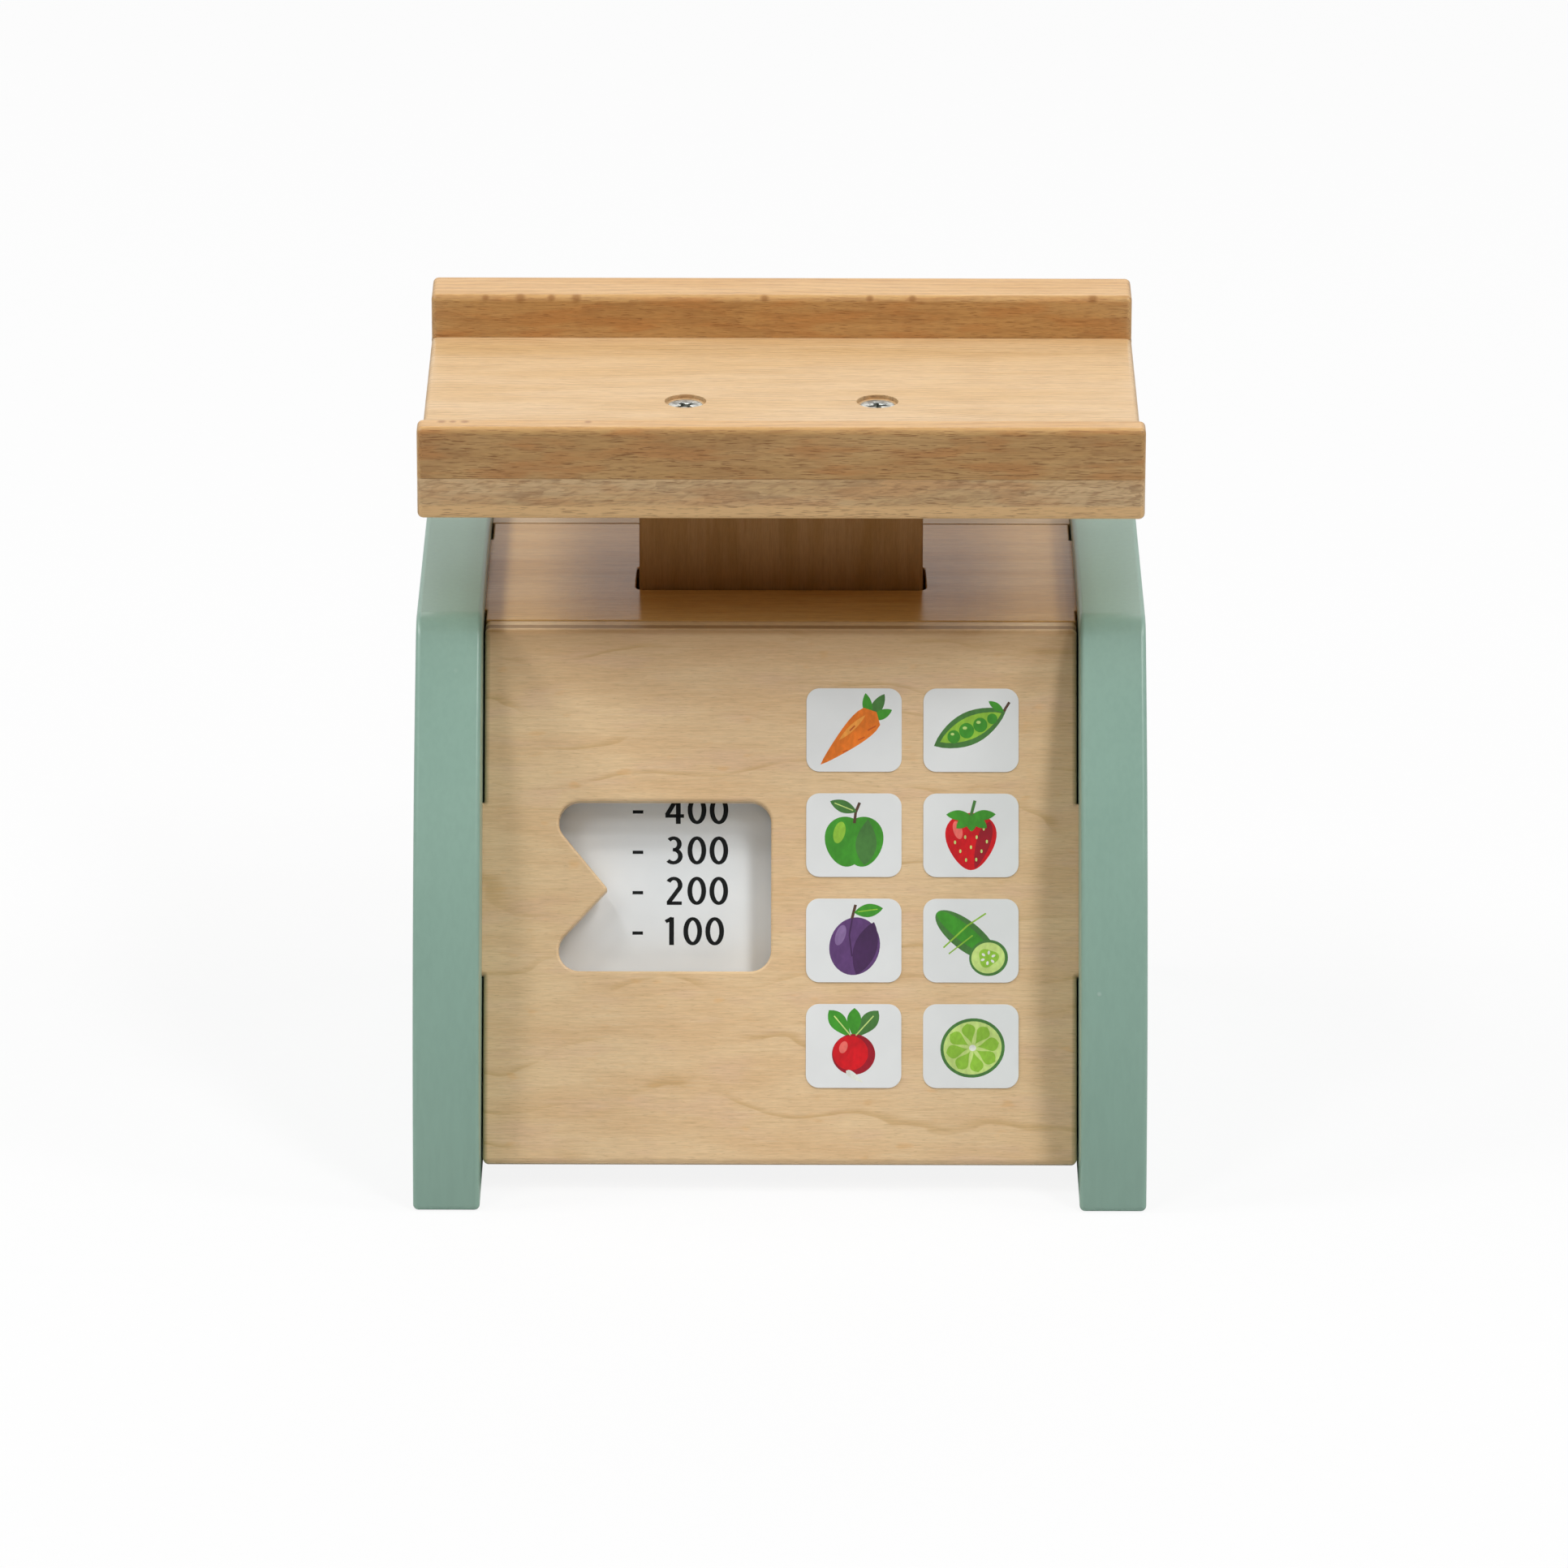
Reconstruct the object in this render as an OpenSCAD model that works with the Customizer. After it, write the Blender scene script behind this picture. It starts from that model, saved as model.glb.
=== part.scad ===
// Toy shop scale. A tray on a sprung T-shaped post sinks into a wooden housing,
// and a numbered card on the post moves behind a window in the sloping front.
// Millimetres, +Z up, front towards -Y. Origin: centre of the footprint, on the floor.
// A distance called "behind the foot" is measured from the front of the side panels at the floor.

/* [Housing] */
// Width over both side panels
body_w = 165; // [155:1:175]
// Thickness of the side panels
side_t = 15; // [13:1:17]
// Depth of the side panels at the floor
side_d = 152; // [148:1:158]
// Height of the side panels
side_h = 121.4; // [119:0.5:124]
// Radius of the curved front edge of a side panel
front_r = 209; // [205:1:225]
// Depth below the floor of the centre of that curve
front_drop = 24; // [22:0.2:28]
// Radius of the two upper corners of a side panel
corner_r = 10; // [7:0.5:12]
// Easing along the edges of a side panel
side_ease = 1.2; // [0.6:0.2:2]

/* [Front panel] */
// Lean of the front panel from the vertical, degrees
tilt = 25.5; // [24:0.5:27]
// Thickness of the front panel
panel_t = 6; // [5:0.5:7]
// Lower front edge of the front panel, behind the foot
panel_setback = 12; // [11:0.5:14]
// Height of that edge above the floor
panel_lift = 6.8; // [5.6:0.2:8]
// Lower end of the side tongues, along the slope
tongue_low = 42.4; // [38:0.2:46]
// Length of the side tongues, along the slope
tongue_l = 39.3; // [30:0.1:44]
// Depth of a tongue in the side panel
tongue_d = 6; // [4:0.5:9]

/* [Reading window] */
// Width of the window, from the lobes to the right edge
window_w = 48.1; // [44:0.1:52]
// Height of the window, along the slope
window_h = 38.6; // [35:0.1:42]
// Lower edge of the window, along the slope
window_low = 43.5; // [41:0.1:46]
// Right edge of the window, left of the middle
window_right = 2.1; // [1:0.1:5]
// Corner radius of the window
window_r = 4.8; // [3:0.1:7]
// How far the pointer reaches into the window
pointer_l = 11.2; // [8:0.1:15]
// Height of the pointer's tip above the window's lower edge
pointer_rise = 18.6; // [16:0.1:22]

/* [Top panel] */
// Thickness of the top panel
deck_t = 12; // [10:0.5:13]
// Top of the top panel, below the top of the side panels
deck_drop = 5.5; // [4.5:0.5:8]
// Front end of its side tongues, behind the front panel's back face
deck_tongue_front = 7.3; // [6:0.1:12]
// Rear end of its side tongues, in front of the back panel
deck_tongue_back = 11.5; // [9:0.5:18]

/* [Back and base] */
// Thickness of the back panel
back_t = 10.5; // [9:0.5:12]
// Back panel, in front of the rear edge of the side panels
back_inset = 3.5; // [2:0.5:6]
// Thickness of the base panel
base_t = 9; // [8:0.5:10]
// Height of the base panel above the floor
base_lift = 6; // [5:0.5:7]
// Diameter of the joining dowels
dowel_d = 5; // [4:0.5:6]
// Length of the joining dowels
dowel_l = 24; // [18:1:28]
// Part of a dowel's length that is in the side panel
dowel_in_side = 9; // [6:0.5:11]

/* [Tray] */
// Width of the tray
tray_w = 163; // [150:1:175]
// Depth of the tray
tray_d = 115; // [110:1:125]
// Front of the tray, behind the foot
tray_setback = 46; // [40:1:50]
// Room under the tray, above the side panels
tray_gap = 27.5; // [25:0.5:32]
// Thickness of the tray board
tray_t = 10; // [8:0.5:12]
// Rounding along the tray board's lower edges
tray_round = 1.2; // [0.6:0.2:3]
// Thickness of the front lip, front to back
front_lip_t = 7; // [5:0.5:12]
// Height of the front lip above the tray board
front_lip_h = 11.5; // [9:0.5:14]
// Thickness of the back lip, front to back
back_lip_t = 15; // [12:0.5:18]
// Height of the back lip above the tray board
back_lip_h = 10.2; // [8:0.2:14]
// Rounding along the top edges of the lips
lip_round = 1; // [0.6:0.2:2]
// Depth of the rabbet in which a lip is glued
lip_seat = 0.5; // [0.3:0.1:1]

/* [Post] */
// Width of the post above the top panel
post_w = 65; // [60:1:75]
// Thickness of the post
post_t = 15; // [13:0.5:17]
// Middle of the post, behind the foot
post_back = 99.8; // [97:0.2:103]
// Rounding of the post's upright edges
post_round = 1; // [0.5:0.5:4]
// Width of the post's shoulders, under the top panel
wing_w = 95; // [90:1:105]
// Height of the shoulders
wing_h = 43; // [38:1:46]
// Width of the foot of the post
foot_w = 28; // [20:1:34]
// Room beside the post in its slot
slot_side = 0.7; // [0.5:0.1:1.5]
// Room in front of and behind the post in its slot
slot_face = 0.4; // [0.3:0.1:0.8]

/* [Tray screws] */
// Distance between the two tray screws
screw_pitch = 43.9; // [36:0.1:50]
// Diameter of a screw's head
screw_head_d = 8.2; // [7:0.1:9]
// Diameter of a screw's shank
screw_shank_d = 4; // [3.5:0.1:4.5]
// Length of a screw, with its head
screw_l = 35; // [28:1:40]
// Diameter of the recess over a screw
recess_d = 9.4; // [9:0.1:11]
// Depth of a screw's head below the tray's floor
recess_t = 1; // [0.6:0.1:3]

/* [Springs and guides] */
// Distance between the two guide rods
rod_pitch = 72; // [70:1:76]
// Diameter of a guide rod
rod_d = 6; // [5:0.5:6.5]
// Wood left in a shoulder above the bore of its guide rod
rod_cover = 7; // [5:0.5:12]
// Radial room of a guide rod in the post
rod_play = 0.08; // [0.06:0.01:0.1]
// Mean diameter of a spring
spring_d = 9.6; // [9:0.1:11]
// Thickness of the spring wire
spring_wire = 0.8; // [0.6:0.1:1]
// Number of turns of a spring
spring_turns = 12; // [9:1:14]
// Thickness of the felt pad under the foot of the post
pad_t = 2; // [1:0.5:3]

/* [Reading card] */
// Distance between two readings on the card
reading_step = 9.2; // [8:0.1:10]
// Reading at rest, in hundreds
rest_reading = 2; // [2:1:2]
// Reading with the tray fully down, in hundreds
full_reading = 4; // [3:1:4]
// Thickness of the card
card_t = 0.5; // [0.4:0.1:1]
// Thickness of the board behind the card
board_t = 4; // [3:0.5:5]
// Room between the front panel and the card
card_gap = 3; // [2.8:0.1:3.6]
// Reach of the card beyond the window on each side
card_side = 6.5; // [4:0.5:8]
// Reach of the card below the window's lower edge
card_below = 3.5; // [2:0.5:4.5]
// Room between the card and the top panel
card_room = 3.9; // [3:0.1:6]
// Thickness of the two brackets between the card's board and the post
bracket_t = 6; // [4:0.5:8]

/* [Stickers] */
// Width of a sticker
sticker_w = 21.6; // [18:0.1:23]
// Height of a sticker
sticker_h = 19; // [16:0.1:21]
// Thickness of a sticker
sticker_t = 0.25; // [0.2:0.05:0.4]
// Corner radius of a sticker
sticker_r = 3; // [1:0.5:5]
// Distance between the two columns of stickers
column_pitch = 26.5; // [24:0.1:30]
// Distance between the rows of stickers
row_pitch = 23.9; // [22:0.1:24.5]
// Middle of the two columns, as a share of the room from the window to the panel's right edge
column_share = 0.462; // [0.44:0.002:0.5]
// Middle of the rows, as a share of the front panel's length along the slope
row_share = 0.517; // [0.5:0.002:0.53]

/* [Hidden] */

$fn = 48;
sage = "#88a799";
plywood = "#dcbf94";
beech = "#d9ac72";
birch = "#cfae85";
pine = "#d6b88c";
steel = "#b9bcc0";
paper = "#f2f2f0";
felt = "#6f746f";

// Clearances shared by the pieces
overrun = 1;        // how far a cut runs past what it cuts
seam = 0.4;         // open joint between a panel and a side panel
seat = 0.2;         // gap where a piece rests on its seat
glue = 0.05;        // glue line between two flat faces
fit = 0.15;         // room round a tongue in its mortise
dowel_fit = 0.05;   // radial room round a dowel
hole_end = 1;       // room past the end of a rod, dowel or screw
screw_fit = 0.1;    // radial room round a screw
stop_room = 0.15;   // left between foot and pad with the tray fully down
crossing = 0.02;    // lets an arc cross its neighbour where it would only touch it

// The housing in its own frame
total_d = tray_setback + tray_d;
foot_y = -total_d / 2;
inner_w = body_w - 2 * side_t;
board_w = inner_w - 2 * seam;
deck_z = side_h - deck_drop;
deck_under = deck_z - deck_t;
base_top = base_lift + base_t;
back_y = foot_y + side_d - back_inset;
back_front = back_y - back_t;
post_y = foot_y + post_back;

// Curve and corner centres of a side panel, as [Y, Z]
curve_c = [foot_y + sqrt(front_r * front_r - front_drop * front_drop), -front_drop];
corner_z = side_h - corner_r;
corner_rise = corner_z - curve_c.y;
corner_reach = front_r - corner_r;
front_corner_c = [curve_c.x - sqrt(corner_reach * corner_reach - corner_rise * corner_rise), corner_z];
rear_corner_c = [foot_y + side_d - corner_r, corner_z];
corner_dir = (front_corner_c - curve_c) / corner_reach;

// The sloping front: lengths along the slope, and Y of its back face at a height
panel_y = foot_y + panel_setback;
face_l = (deck_z - panel_lift) / cos(tilt);
panel_l = face_l + panel_t * tan(tilt);
function panel_back(z) = panel_y + (z - panel_lift) * tan(tilt) + panel_t / cos(tilt);

// The window, as [X, along the slope]
window_left = -window_right - window_w;
window_high = window_low + window_h;
pointer_tip = [window_left + pointer_l, window_low + pointer_rise];
lobe_high = [window_left + window_r, window_high - window_r];
lobe_low = [window_left + window_r, window_low + window_r];
window_turn_high = [-window_right - window_r, window_high - window_r];
window_turn_low = [-window_right - window_r, window_low + window_r];

// Where a straight line from a point touches a circle, on the side given by turn (1 or -1)
function touch(from, centre, r, turn) =
    let (gap = centre - from, far = norm(gap), a = atan2(gap.y, gap.x) + turn * asin(r / far))
    from + sqrt(far * far - r * r) * [cos(a), sin(a)];

// The travel that brings the full reading to the pointer
travel = (full_reading - rest_reading) * reading_step / cos(tilt);

// The tray and the post at rest
tray_under = side_h + tray_gap;
tray_floor = tray_under + tray_t;
tray_y = foot_y + tray_setback;
wing_top = deck_under - seat;
wing_under = wing_top - wing_h;
pad_top = base_top + pad_t;
foot_under = pad_top + travel + stop_room;

// Guide rods and springs
rod_socket = base_t * 2 / 3;
rod_bore_top = wing_top - rod_cover;
rod_top = rod_bore_top - hole_end - travel;
spring_low = base_top + seat;
spring_high = wing_under - seat;

// The screws: a countersunk head with a cross recess, a shank and a core
head_h = (screw_head_d - screw_shank_d) / 2;
head_top = tray_floor - recess_t;
core_d = screw_shank_d * 0.8;
tip_d = core_d / 4;
cross_l = screw_head_d * 0.55;
cross_w = screw_head_d * 0.13;
cross_h = head_h * 0.85;

// The card and what carries it, as depths behind the front panel's face
card_depth = panel_t + card_gap;
board_depth = card_depth + card_t + glue;
carrier_depth = board_depth + board_t + glue;
card_left = window_left - card_side;
card_right = -window_right + card_side;
card_low = window_low - card_below;
card_high = (deck_under - card_room - panel_lift + card_depth * sin(tilt)) / cos(tilt);
bracket_inset = (card_right - card_left) / 6;
bracket_low = panel_lift + card_low * cos(tilt) + board_t;
bracket_high = wing_top - 2 * seat;
bracket_turn = wing_under + seat;
function carrier_back(z) = panel_y + (z - panel_lift) * tan(tilt) + carrier_depth / cos(tilt);

// Sticker names by row from the lowest, left column first
sticker_names = [["sticker_radish", "sticker_lime"], ["sticker_plum", "sticker_cucumber"],
    ["sticker_apple", "sticker_strawberry"], ["sticker_carrot", "sticker_pea_pod"]];

// Runs a [Y, Z] outline from one X to another
module along_x(from, to) {
    translate([from, 0, 0])
        rotate([90, 0, 90])
            linear_extrude(to - from)
                children();
}

// Puts children on the front panel: X across, Y up the slope, Z out of the face
module on_slope() {
    translate([0, panel_y, panel_lift])
        rotate([90 - tilt, 0, 0])
            children();
}

// Rectangle with its lower left corner at p and all four corners rounded
module round_rect(p, size, r) {
    translate(p + [r, 0])
        square([size.x - 2 * r, size.y]);
    translate(p + [0, r])
        square([size.x, size.y - 2 * r]);
    for (x = [r, size.x - r], y = [r, size.y - r])
        translate(p + [x, y])
            circle(r);
}

// Rectangle with its lower left corner at p and all four corners eased at 45 degrees
module eased_rect(p, size, e) {
    translate(p)
        polygon([
            [e, 0], [size.x - e, 0], [size.x, e], [size.x, size.y - e],
            [size.x - e, size.y], [e, size.y], [0, size.y - e], [0, e]]);
}

// Disc along X with eased rims, centred on a [Y, Z] point, from X = 0 to side_t
module eased_disc(centre, r) {
    rim = r - side_ease;
    translate([0, centre.x, centre.y])
        rotate([0, 90, 0])
            rotate_extrude($fn = 180)
                polygon([
                    [0, 0], [rim, 0], [r, side_ease],
                    [r, side_t - side_ease], [rim, side_t], [0, side_t]]);
}

// Wedge between two directions from the centre of a corner
module corner_wedge(centre, from_dir, to_dir) {
    a = 2 * corner_r * from_dir;
    b = 2 * corner_r * to_dir;
    along_x(-overrun, side_t + overrun)
        polygon([centre, centre + a, centre + a + b, centre + b]);
}

// Side panel without its joints, from X = 0 to side_t
module side_blank() {
    intersection() {
        eased_disc(curve_c, front_r);
        translate([0, foot_y - side_d, 0])
            rotate([-90, 0, 0])
                linear_extrude(2 * side_d)
                    eased_rect([0, -side_h], [side_t, side_h], side_ease);
        linear_extrude(side_h)
            eased_rect([0, foot_y - side_d], [side_t, 2 * side_d], side_ease);
        union() {
            difference() {
                translate([-overrun, foot_y - side_d, -overrun])
                    cube([side_t + 2 * overrun, 2 * side_d + overrun, side_h + 2 * overrun]);
                corner_wedge(front_corner_c, corner_dir, [0, 1]);
                corner_wedge(rear_corner_c, [0, 1], [1, 0]);
            }
            eased_disc(front_corner_c + crossing * corner_dir, corner_r);
            eased_disc(rear_corner_c + crossing * [1, 1], corner_r);
        }
    }
}

// Dowels along X on the left side, at [Y, Z] places; grow widens and lengthens them into their holes
module left_dowels(places, grow, longer) {
    for (p = places)
        translate([-body_w / 2 + side_t - dowel_in_side - longer, p.x, p.y])
            rotate([0, 90, 0])
                cylinder(d = dowel_d + 2 * grow, h = dowel_l + 2 * longer);
}

base_front = panel_back(base_top) + seat;
base_back = back_front - seat;
base_dowel_places = [for (share = [0.25, 0.8])
    [base_front + share * (base_back - base_front), base_lift + base_t / 2]];
back_dowel_places = [for (share = [0.25, 0.8])
    [back_front + back_t / 2, base_lift + share * (deck_z - base_lift)]];

// Front panel's outline on the slope: the plate and, grown by room, its side tongues
module slope_tongues(room) {
    translate([-inner_w / 2 - tongue_d - room, tongue_low - room])
        square([inner_w + 2 * (tongue_d + room), tongue_l + 2 * room]);
}

// Side tongues of the top panel, grown by room
module deck_tongues(room) {
    tongue_front = panel_back(deck_z) + deck_tongue_front;
    tongue_back = back_front - deck_tongue_back;
    translate([-inner_w / 2 - tongue_d - room, tongue_front - room, deck_under - room])
        cube([inner_w + 2 * (tongue_d + room), tongue_back - tongue_front + 2 * room, deck_t + 2 * room]);
}

module side_panel_left() {
    color(sage)
        difference() {
            translate([-body_w / 2, 0, 0])
                side_blank();
            on_slope()
                translate([0, 0, -panel_t - fit])
                    linear_extrude(panel_t + 2 * fit)
                        slope_tongues(fit);
            deck_tongues(fit);
            left_dowels(base_dowel_places, dowel_fit, hole_end);
            left_dowels(back_dowel_places, dowel_fit, hole_end);
        }
}

module side_panel_right() {
    mirror([1, 0, 0])
        side_panel_left();
}

// Window with two round lobes and a pointer between them, as an outline on the slope
module window_outline() {
    for (c = [lobe_high, lobe_low, window_turn_high, window_turn_low])
        translate(c)
            circle(window_r);
    polygon([
        pointer_tip,
        touch(pointer_tip, lobe_low, window_r - crossing, -1),
        lobe_low,
        [lobe_low.x, window_low],
        [window_turn_low.x, window_low],
        [-window_right, window_turn_low.y],
        [-window_right, window_turn_high.y],
        [window_turn_high.x, window_high],
        [lobe_high.x, window_high],
        lobe_high,
        touch(pointer_tip, lobe_high, window_r - crossing, 1)]);
}

module front_panel() {
    color(plywood)
        difference() {
            on_slope()
                translate([0, 0, -panel_t])
                    linear_extrude(panel_t)
                        difference() {
                            union() {
                                translate([-board_w / 2, 0])
                                    square([board_w, panel_l]);
                                slope_tongues(0);
                            }
                            window_outline();
                        }
            translate([-body_w / 2, foot_y, deck_z])
                cube([body_w, total_d, side_h]);
        }
}

module top_panel() {
    slot = [post_w + 2 * slot_side, post_t + 2 * slot_face];
    color(birch)
        difference() {
            union() {
                along_x(-board_w / 2, board_w / 2)
                    polygon([
                        [panel_back(deck_under) + seat, deck_under],
                        [panel_back(deck_z) + seat, deck_z],
                        [back_front - seat, deck_z],
                        [back_front - seat, deck_under]]);
                deck_tongues(0);
            }
            translate([0, 0, deck_under - overrun])
                linear_extrude(deck_t + 2 * overrun)
                    round_rect([-slot.x / 2, post_y - slot.y / 2], slot, post_round + slot_side);
        }
}

module both_sides() {
    children();
    mirror([1, 0, 0])
        children();
}

module back_panel() {
    color(pine)
        difference() {
            translate([-board_w / 2, back_front, base_lift])
                cube([board_w, back_t, deck_z - base_lift]);
            both_sides()
                left_dowels(back_dowel_places, dowel_fit, hole_end);
        }
}

module base_panel() {
    color(pine)
        difference() {
            translate([-board_w / 2, base_front, base_lift])
                cube([board_w, base_back - base_front, base_t]);
            both_sides()
                left_dowels(base_dowel_places, dowel_fit, hole_end);
            for (side = [-1, 1])
                translate([side * rod_pitch / 2, post_y, base_top - rod_socket])
                    cylinder(d = rod_d + 2 * dowel_fit, h = rod_socket + overrun);
        }
}

module base_dowels() {
    color(beech)
        both_sides()
            left_dowels(base_dowel_places, 0, 0);
}

module back_dowels() {
    color(beech)
        both_sides()
            left_dowels(back_dowel_places, 0, 0);
}

module guide_rod(side) {
    rod_foot = base_top - rod_socket + dowel_fit;
    color(beech)
        translate([side * rod_pitch / 2, post_y, rod_foot])
            cylinder(d = rod_d, h = rod_top - rod_foot);
}

module stop_pad() {
    color(felt)
        translate([-foot_w / 2, post_y - post_t / 2, base_top])
            cube([foot_w, post_t, pad_t]);
}

// Sticker at a column and a row of the grid on the front panel
module sticker(column, row) {
    middle = [column_share * (board_w / 2 + window_right) - window_right, row_share * face_l];
    steps = [column, row] - [len(sticker_names[0]) - 1, len(sticker_names) - 1] / 2;
    centre = middle + [steps.x * column_pitch, steps.y * row_pitch];
    color(paper)
        on_slope()
            translate([0, 0, glue])
                linear_extrude(sticker_t)
                    round_rect(centre - [sticker_w, sticker_h] / 2, [sticker_w, sticker_h], sticker_r);
}

module tray_board() {
    front_rabbet = front_lip_t + glue;
    back_rabbet = back_lip_t + glue;
    color(beech)
        difference() {
            along_x(-tray_w / 2, tray_w / 2)
                difference() {
                    union() {
                        round_rect([tray_y, tray_under], [tray_d, tray_t], tray_round);
                        translate([tray_y, tray_under + tray_round])
                            square([tray_d, tray_t - tray_round]);
                    }
                    translate([tray_y - overrun, tray_floor - lip_seat])
                        square([front_rabbet + overrun, lip_seat + overrun]);
                    translate([tray_y + tray_d - back_rabbet, tray_floor - lip_seat])
                        square([back_rabbet + overrun, lip_seat + overrun]);
                }
            for (side = [-1, 1])
                translate([side * screw_pitch / 2, post_y, 0])
                    screw_hole();
        }
}

// Recess, countersink and through hole over a screw
module screw_hole() {
    translate([0, 0, head_top])
        cylinder(d = recess_d, h = recess_t + overrun);
    translate([0, 0, head_top - head_h - screw_fit])
        cylinder(
            d1 = screw_shank_d + 2 * screw_fit,
            d2 = screw_head_d + 2 * screw_fit,
            h = head_h + screw_fit);
    translate([0, 0, tray_under - overrun])
        cylinder(d = screw_shank_d + 2 * screw_fit, h = tray_t);
}

// Lip from its front face at a Y, with its thickness and its height above the tray board
module tray_lip(front, thick, high) {
    lip_foot = tray_floor - lip_seat + glue;
    lip_top = tray_floor + high;
    color(beech)
        along_x(-tray_w / 2, tray_w / 2)
            union() {
                round_rect([front, lip_foot], [thick, lip_top - lip_foot], lip_round);
                translate([front, lip_foot])
                    square([thick, high - lip_round]);
            }
}

module tray_post() {
    screw_tip = head_top - screw_l;
    color(beech)
        difference() {
            union() {
                translate([0, 0, wing_top - overrun])
                    linear_extrude(tray_under - glue - wing_top + overrun)
                        round_rect([-post_w / 2, post_y - post_t / 2], [post_w, post_t], post_round);
                translate([-wing_w / 2, post_y - post_t / 2, wing_under])
                    cube([wing_w, post_t, wing_h]);
                translate([-foot_w / 2, post_y - post_t / 2, foot_under])
                    cube([foot_w, post_t, wing_top - foot_under]);
            }
            for (side = [-1, 1]) {
                translate([side * rod_pitch / 2, post_y, wing_under - overrun])
                    cylinder(d = rod_d + 2 * rod_play, h = rod_bore_top - wing_under + overrun);
                translate([side * screw_pitch / 2, post_y, screw_tip - hole_end])
                    cylinder(d = core_d + 2 * screw_fit, h = tray_under - screw_tip + hole_end);
            }
        }
}

module tray_screws() {
    for (side = [-1, 1])
        translate([side * screw_pitch / 2, post_y, 0])
            color(steel)
                tray_screw();
}

module tray_screw() {
    difference() {
        rotate_extrude()
            polygon([
                [0, head_top],
                [screw_head_d / 2, head_top],
                [screw_shank_d / 2, head_top - head_h],
                [screw_shank_d / 2, tray_under + head_h],
                [core_d / 2, tray_under],
                [core_d / 2, head_top - screw_l + core_d],
                [tip_d / 2, head_top - screw_l],
                [0, head_top - screw_l]]);
        for (turn = [0, 90])
            rotate([0, 0, turn])
                translate([-cross_l / 2, -cross_w / 2, head_top - cross_h])
                    cube([cross_l, cross_w, cross_h + overrun]);
    }
}

module indicator_board() {
    color(pine)
        on_slope()
            translate([card_left, card_low, -board_depth - board_t])
                cube([card_right - card_left, card_high - card_low, board_t]);
}

module scale_card() {
    color(paper)
        on_slope()
            translate([card_left, card_low, -card_depth - card_t])
                cube([card_right - card_left, card_high - card_low, card_t]);
}

// Bracket from the post's front face to the slanting board, on the left (-1) or the right (1)
module indicator_bracket(side) {
    x = side < 0 ? card_left + bracket_inset : card_right - bracket_inset - bracket_t;
    post_front = post_y - post_t / 2 - glue;
    color(pine)
        along_x(x, x + bracket_t)
            polygon([
                [carrier_back(bracket_low), bracket_low],
                [post_front, bracket_turn],
                [post_front, bracket_high],
                [carrier_back(bracket_high), bracket_high]]);
}

// Centre line of a spring, as points round the Z axis
rings_per_turn = 8;
ring_sides = 6;
spring_rings = rings_per_turn * spring_turns;
spring_rise = spring_high - spring_low - spring_wire;
function spring_centre(i) =
    let (a = 360 * i / rings_per_turn, climb = spring_rise * i / spring_rings)
    [spring_d / 2 * cos(a), spring_d / 2 * sin(a), spring_low + spring_wire / 2 + climb];
function spring_ring(i) =
    let (a = 360 * i / rings_per_turn,
        lead = atan2(spring_rise / spring_turns, PI * spring_d),
        out = [cos(a), sin(a), 0],
        up = [sin(a) * sin(lead), -cos(a) * sin(lead), cos(lead)])
    [for (k = [0 : ring_sides - 1])
        let (b = 360 * k / ring_sides)
        spring_centre(i) + spring_wire / 2 * (cos(b) * out + sin(b) * up)];

// Least gap between neighbouring turns, measured on the centre line's points
spring_gap = min([for (i = [0 : spring_rings - rings_per_turn])
    for (j = [i + rings_per_turn / 2 : min(spring_rings, i + 2 * rings_per_turn)])
        norm(spring_centre(i) - spring_centre(j))]) - spring_wire;
echo(spring_gap = spring_gap);

module spring(side) {
    points = [for (i = [0 : spring_rings]) each spring_ring(i)];
    last = spring_rings * ring_sides;
    walls = [for (i = [0 : spring_rings - 1], k = [0 : ring_sides - 1])
        let (a = i * ring_sides + k, b = i * ring_sides + (k + 1) % ring_sides)
        each [[a, a + ring_sides, b], [b, a + ring_sides, b + ring_sides]]];
    caps = [for (k = [1 : ring_sides - 2])
        each [[0, k, k + 1], [last, last + k + 1, last + k]]];
    color(steel)
        translate([side * rod_pitch / 2, post_y, 0])
            polyhedron(points, concat(walls, caps));
}

side_panel_left();
side_panel_right();
front_panel();
top_panel();
back_panel();
base_panel();
base_dowels();
back_dowels();
guide_rod(-1);  // guide_rod_left
guide_rod(1);  // guide_rod_right
stop_pad();
for (row = [0 : 3], column = [0 : 1])
    sticker(column, row);
tray_board();
tray_lip(tray_y, front_lip_t, front_lip_h);  // tray_lip_front
tray_lip(tray_y + tray_d - back_lip_t, back_lip_t, back_lip_h);  // tray_lip_back
tray_post();
tray_screws();
indicator_board();
scale_card();
indicator_bracket(-1);  // indicator_bracket_left
indicator_bracket(1);  // indicator_bracket_right
spring(-1);  // spring_left
spring(1);  // spring_right
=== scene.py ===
"""Looks of the toy shop scale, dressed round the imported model. Lengths are in metres."""
from math import acos, asin, atan2, ceil, cos, degrees, log, pi, radians, sin, sqrt, tan

import bpy
from mathutils import Matrix, Vector
from mathutils.geometry import delaunay_2d_cdt


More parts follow.
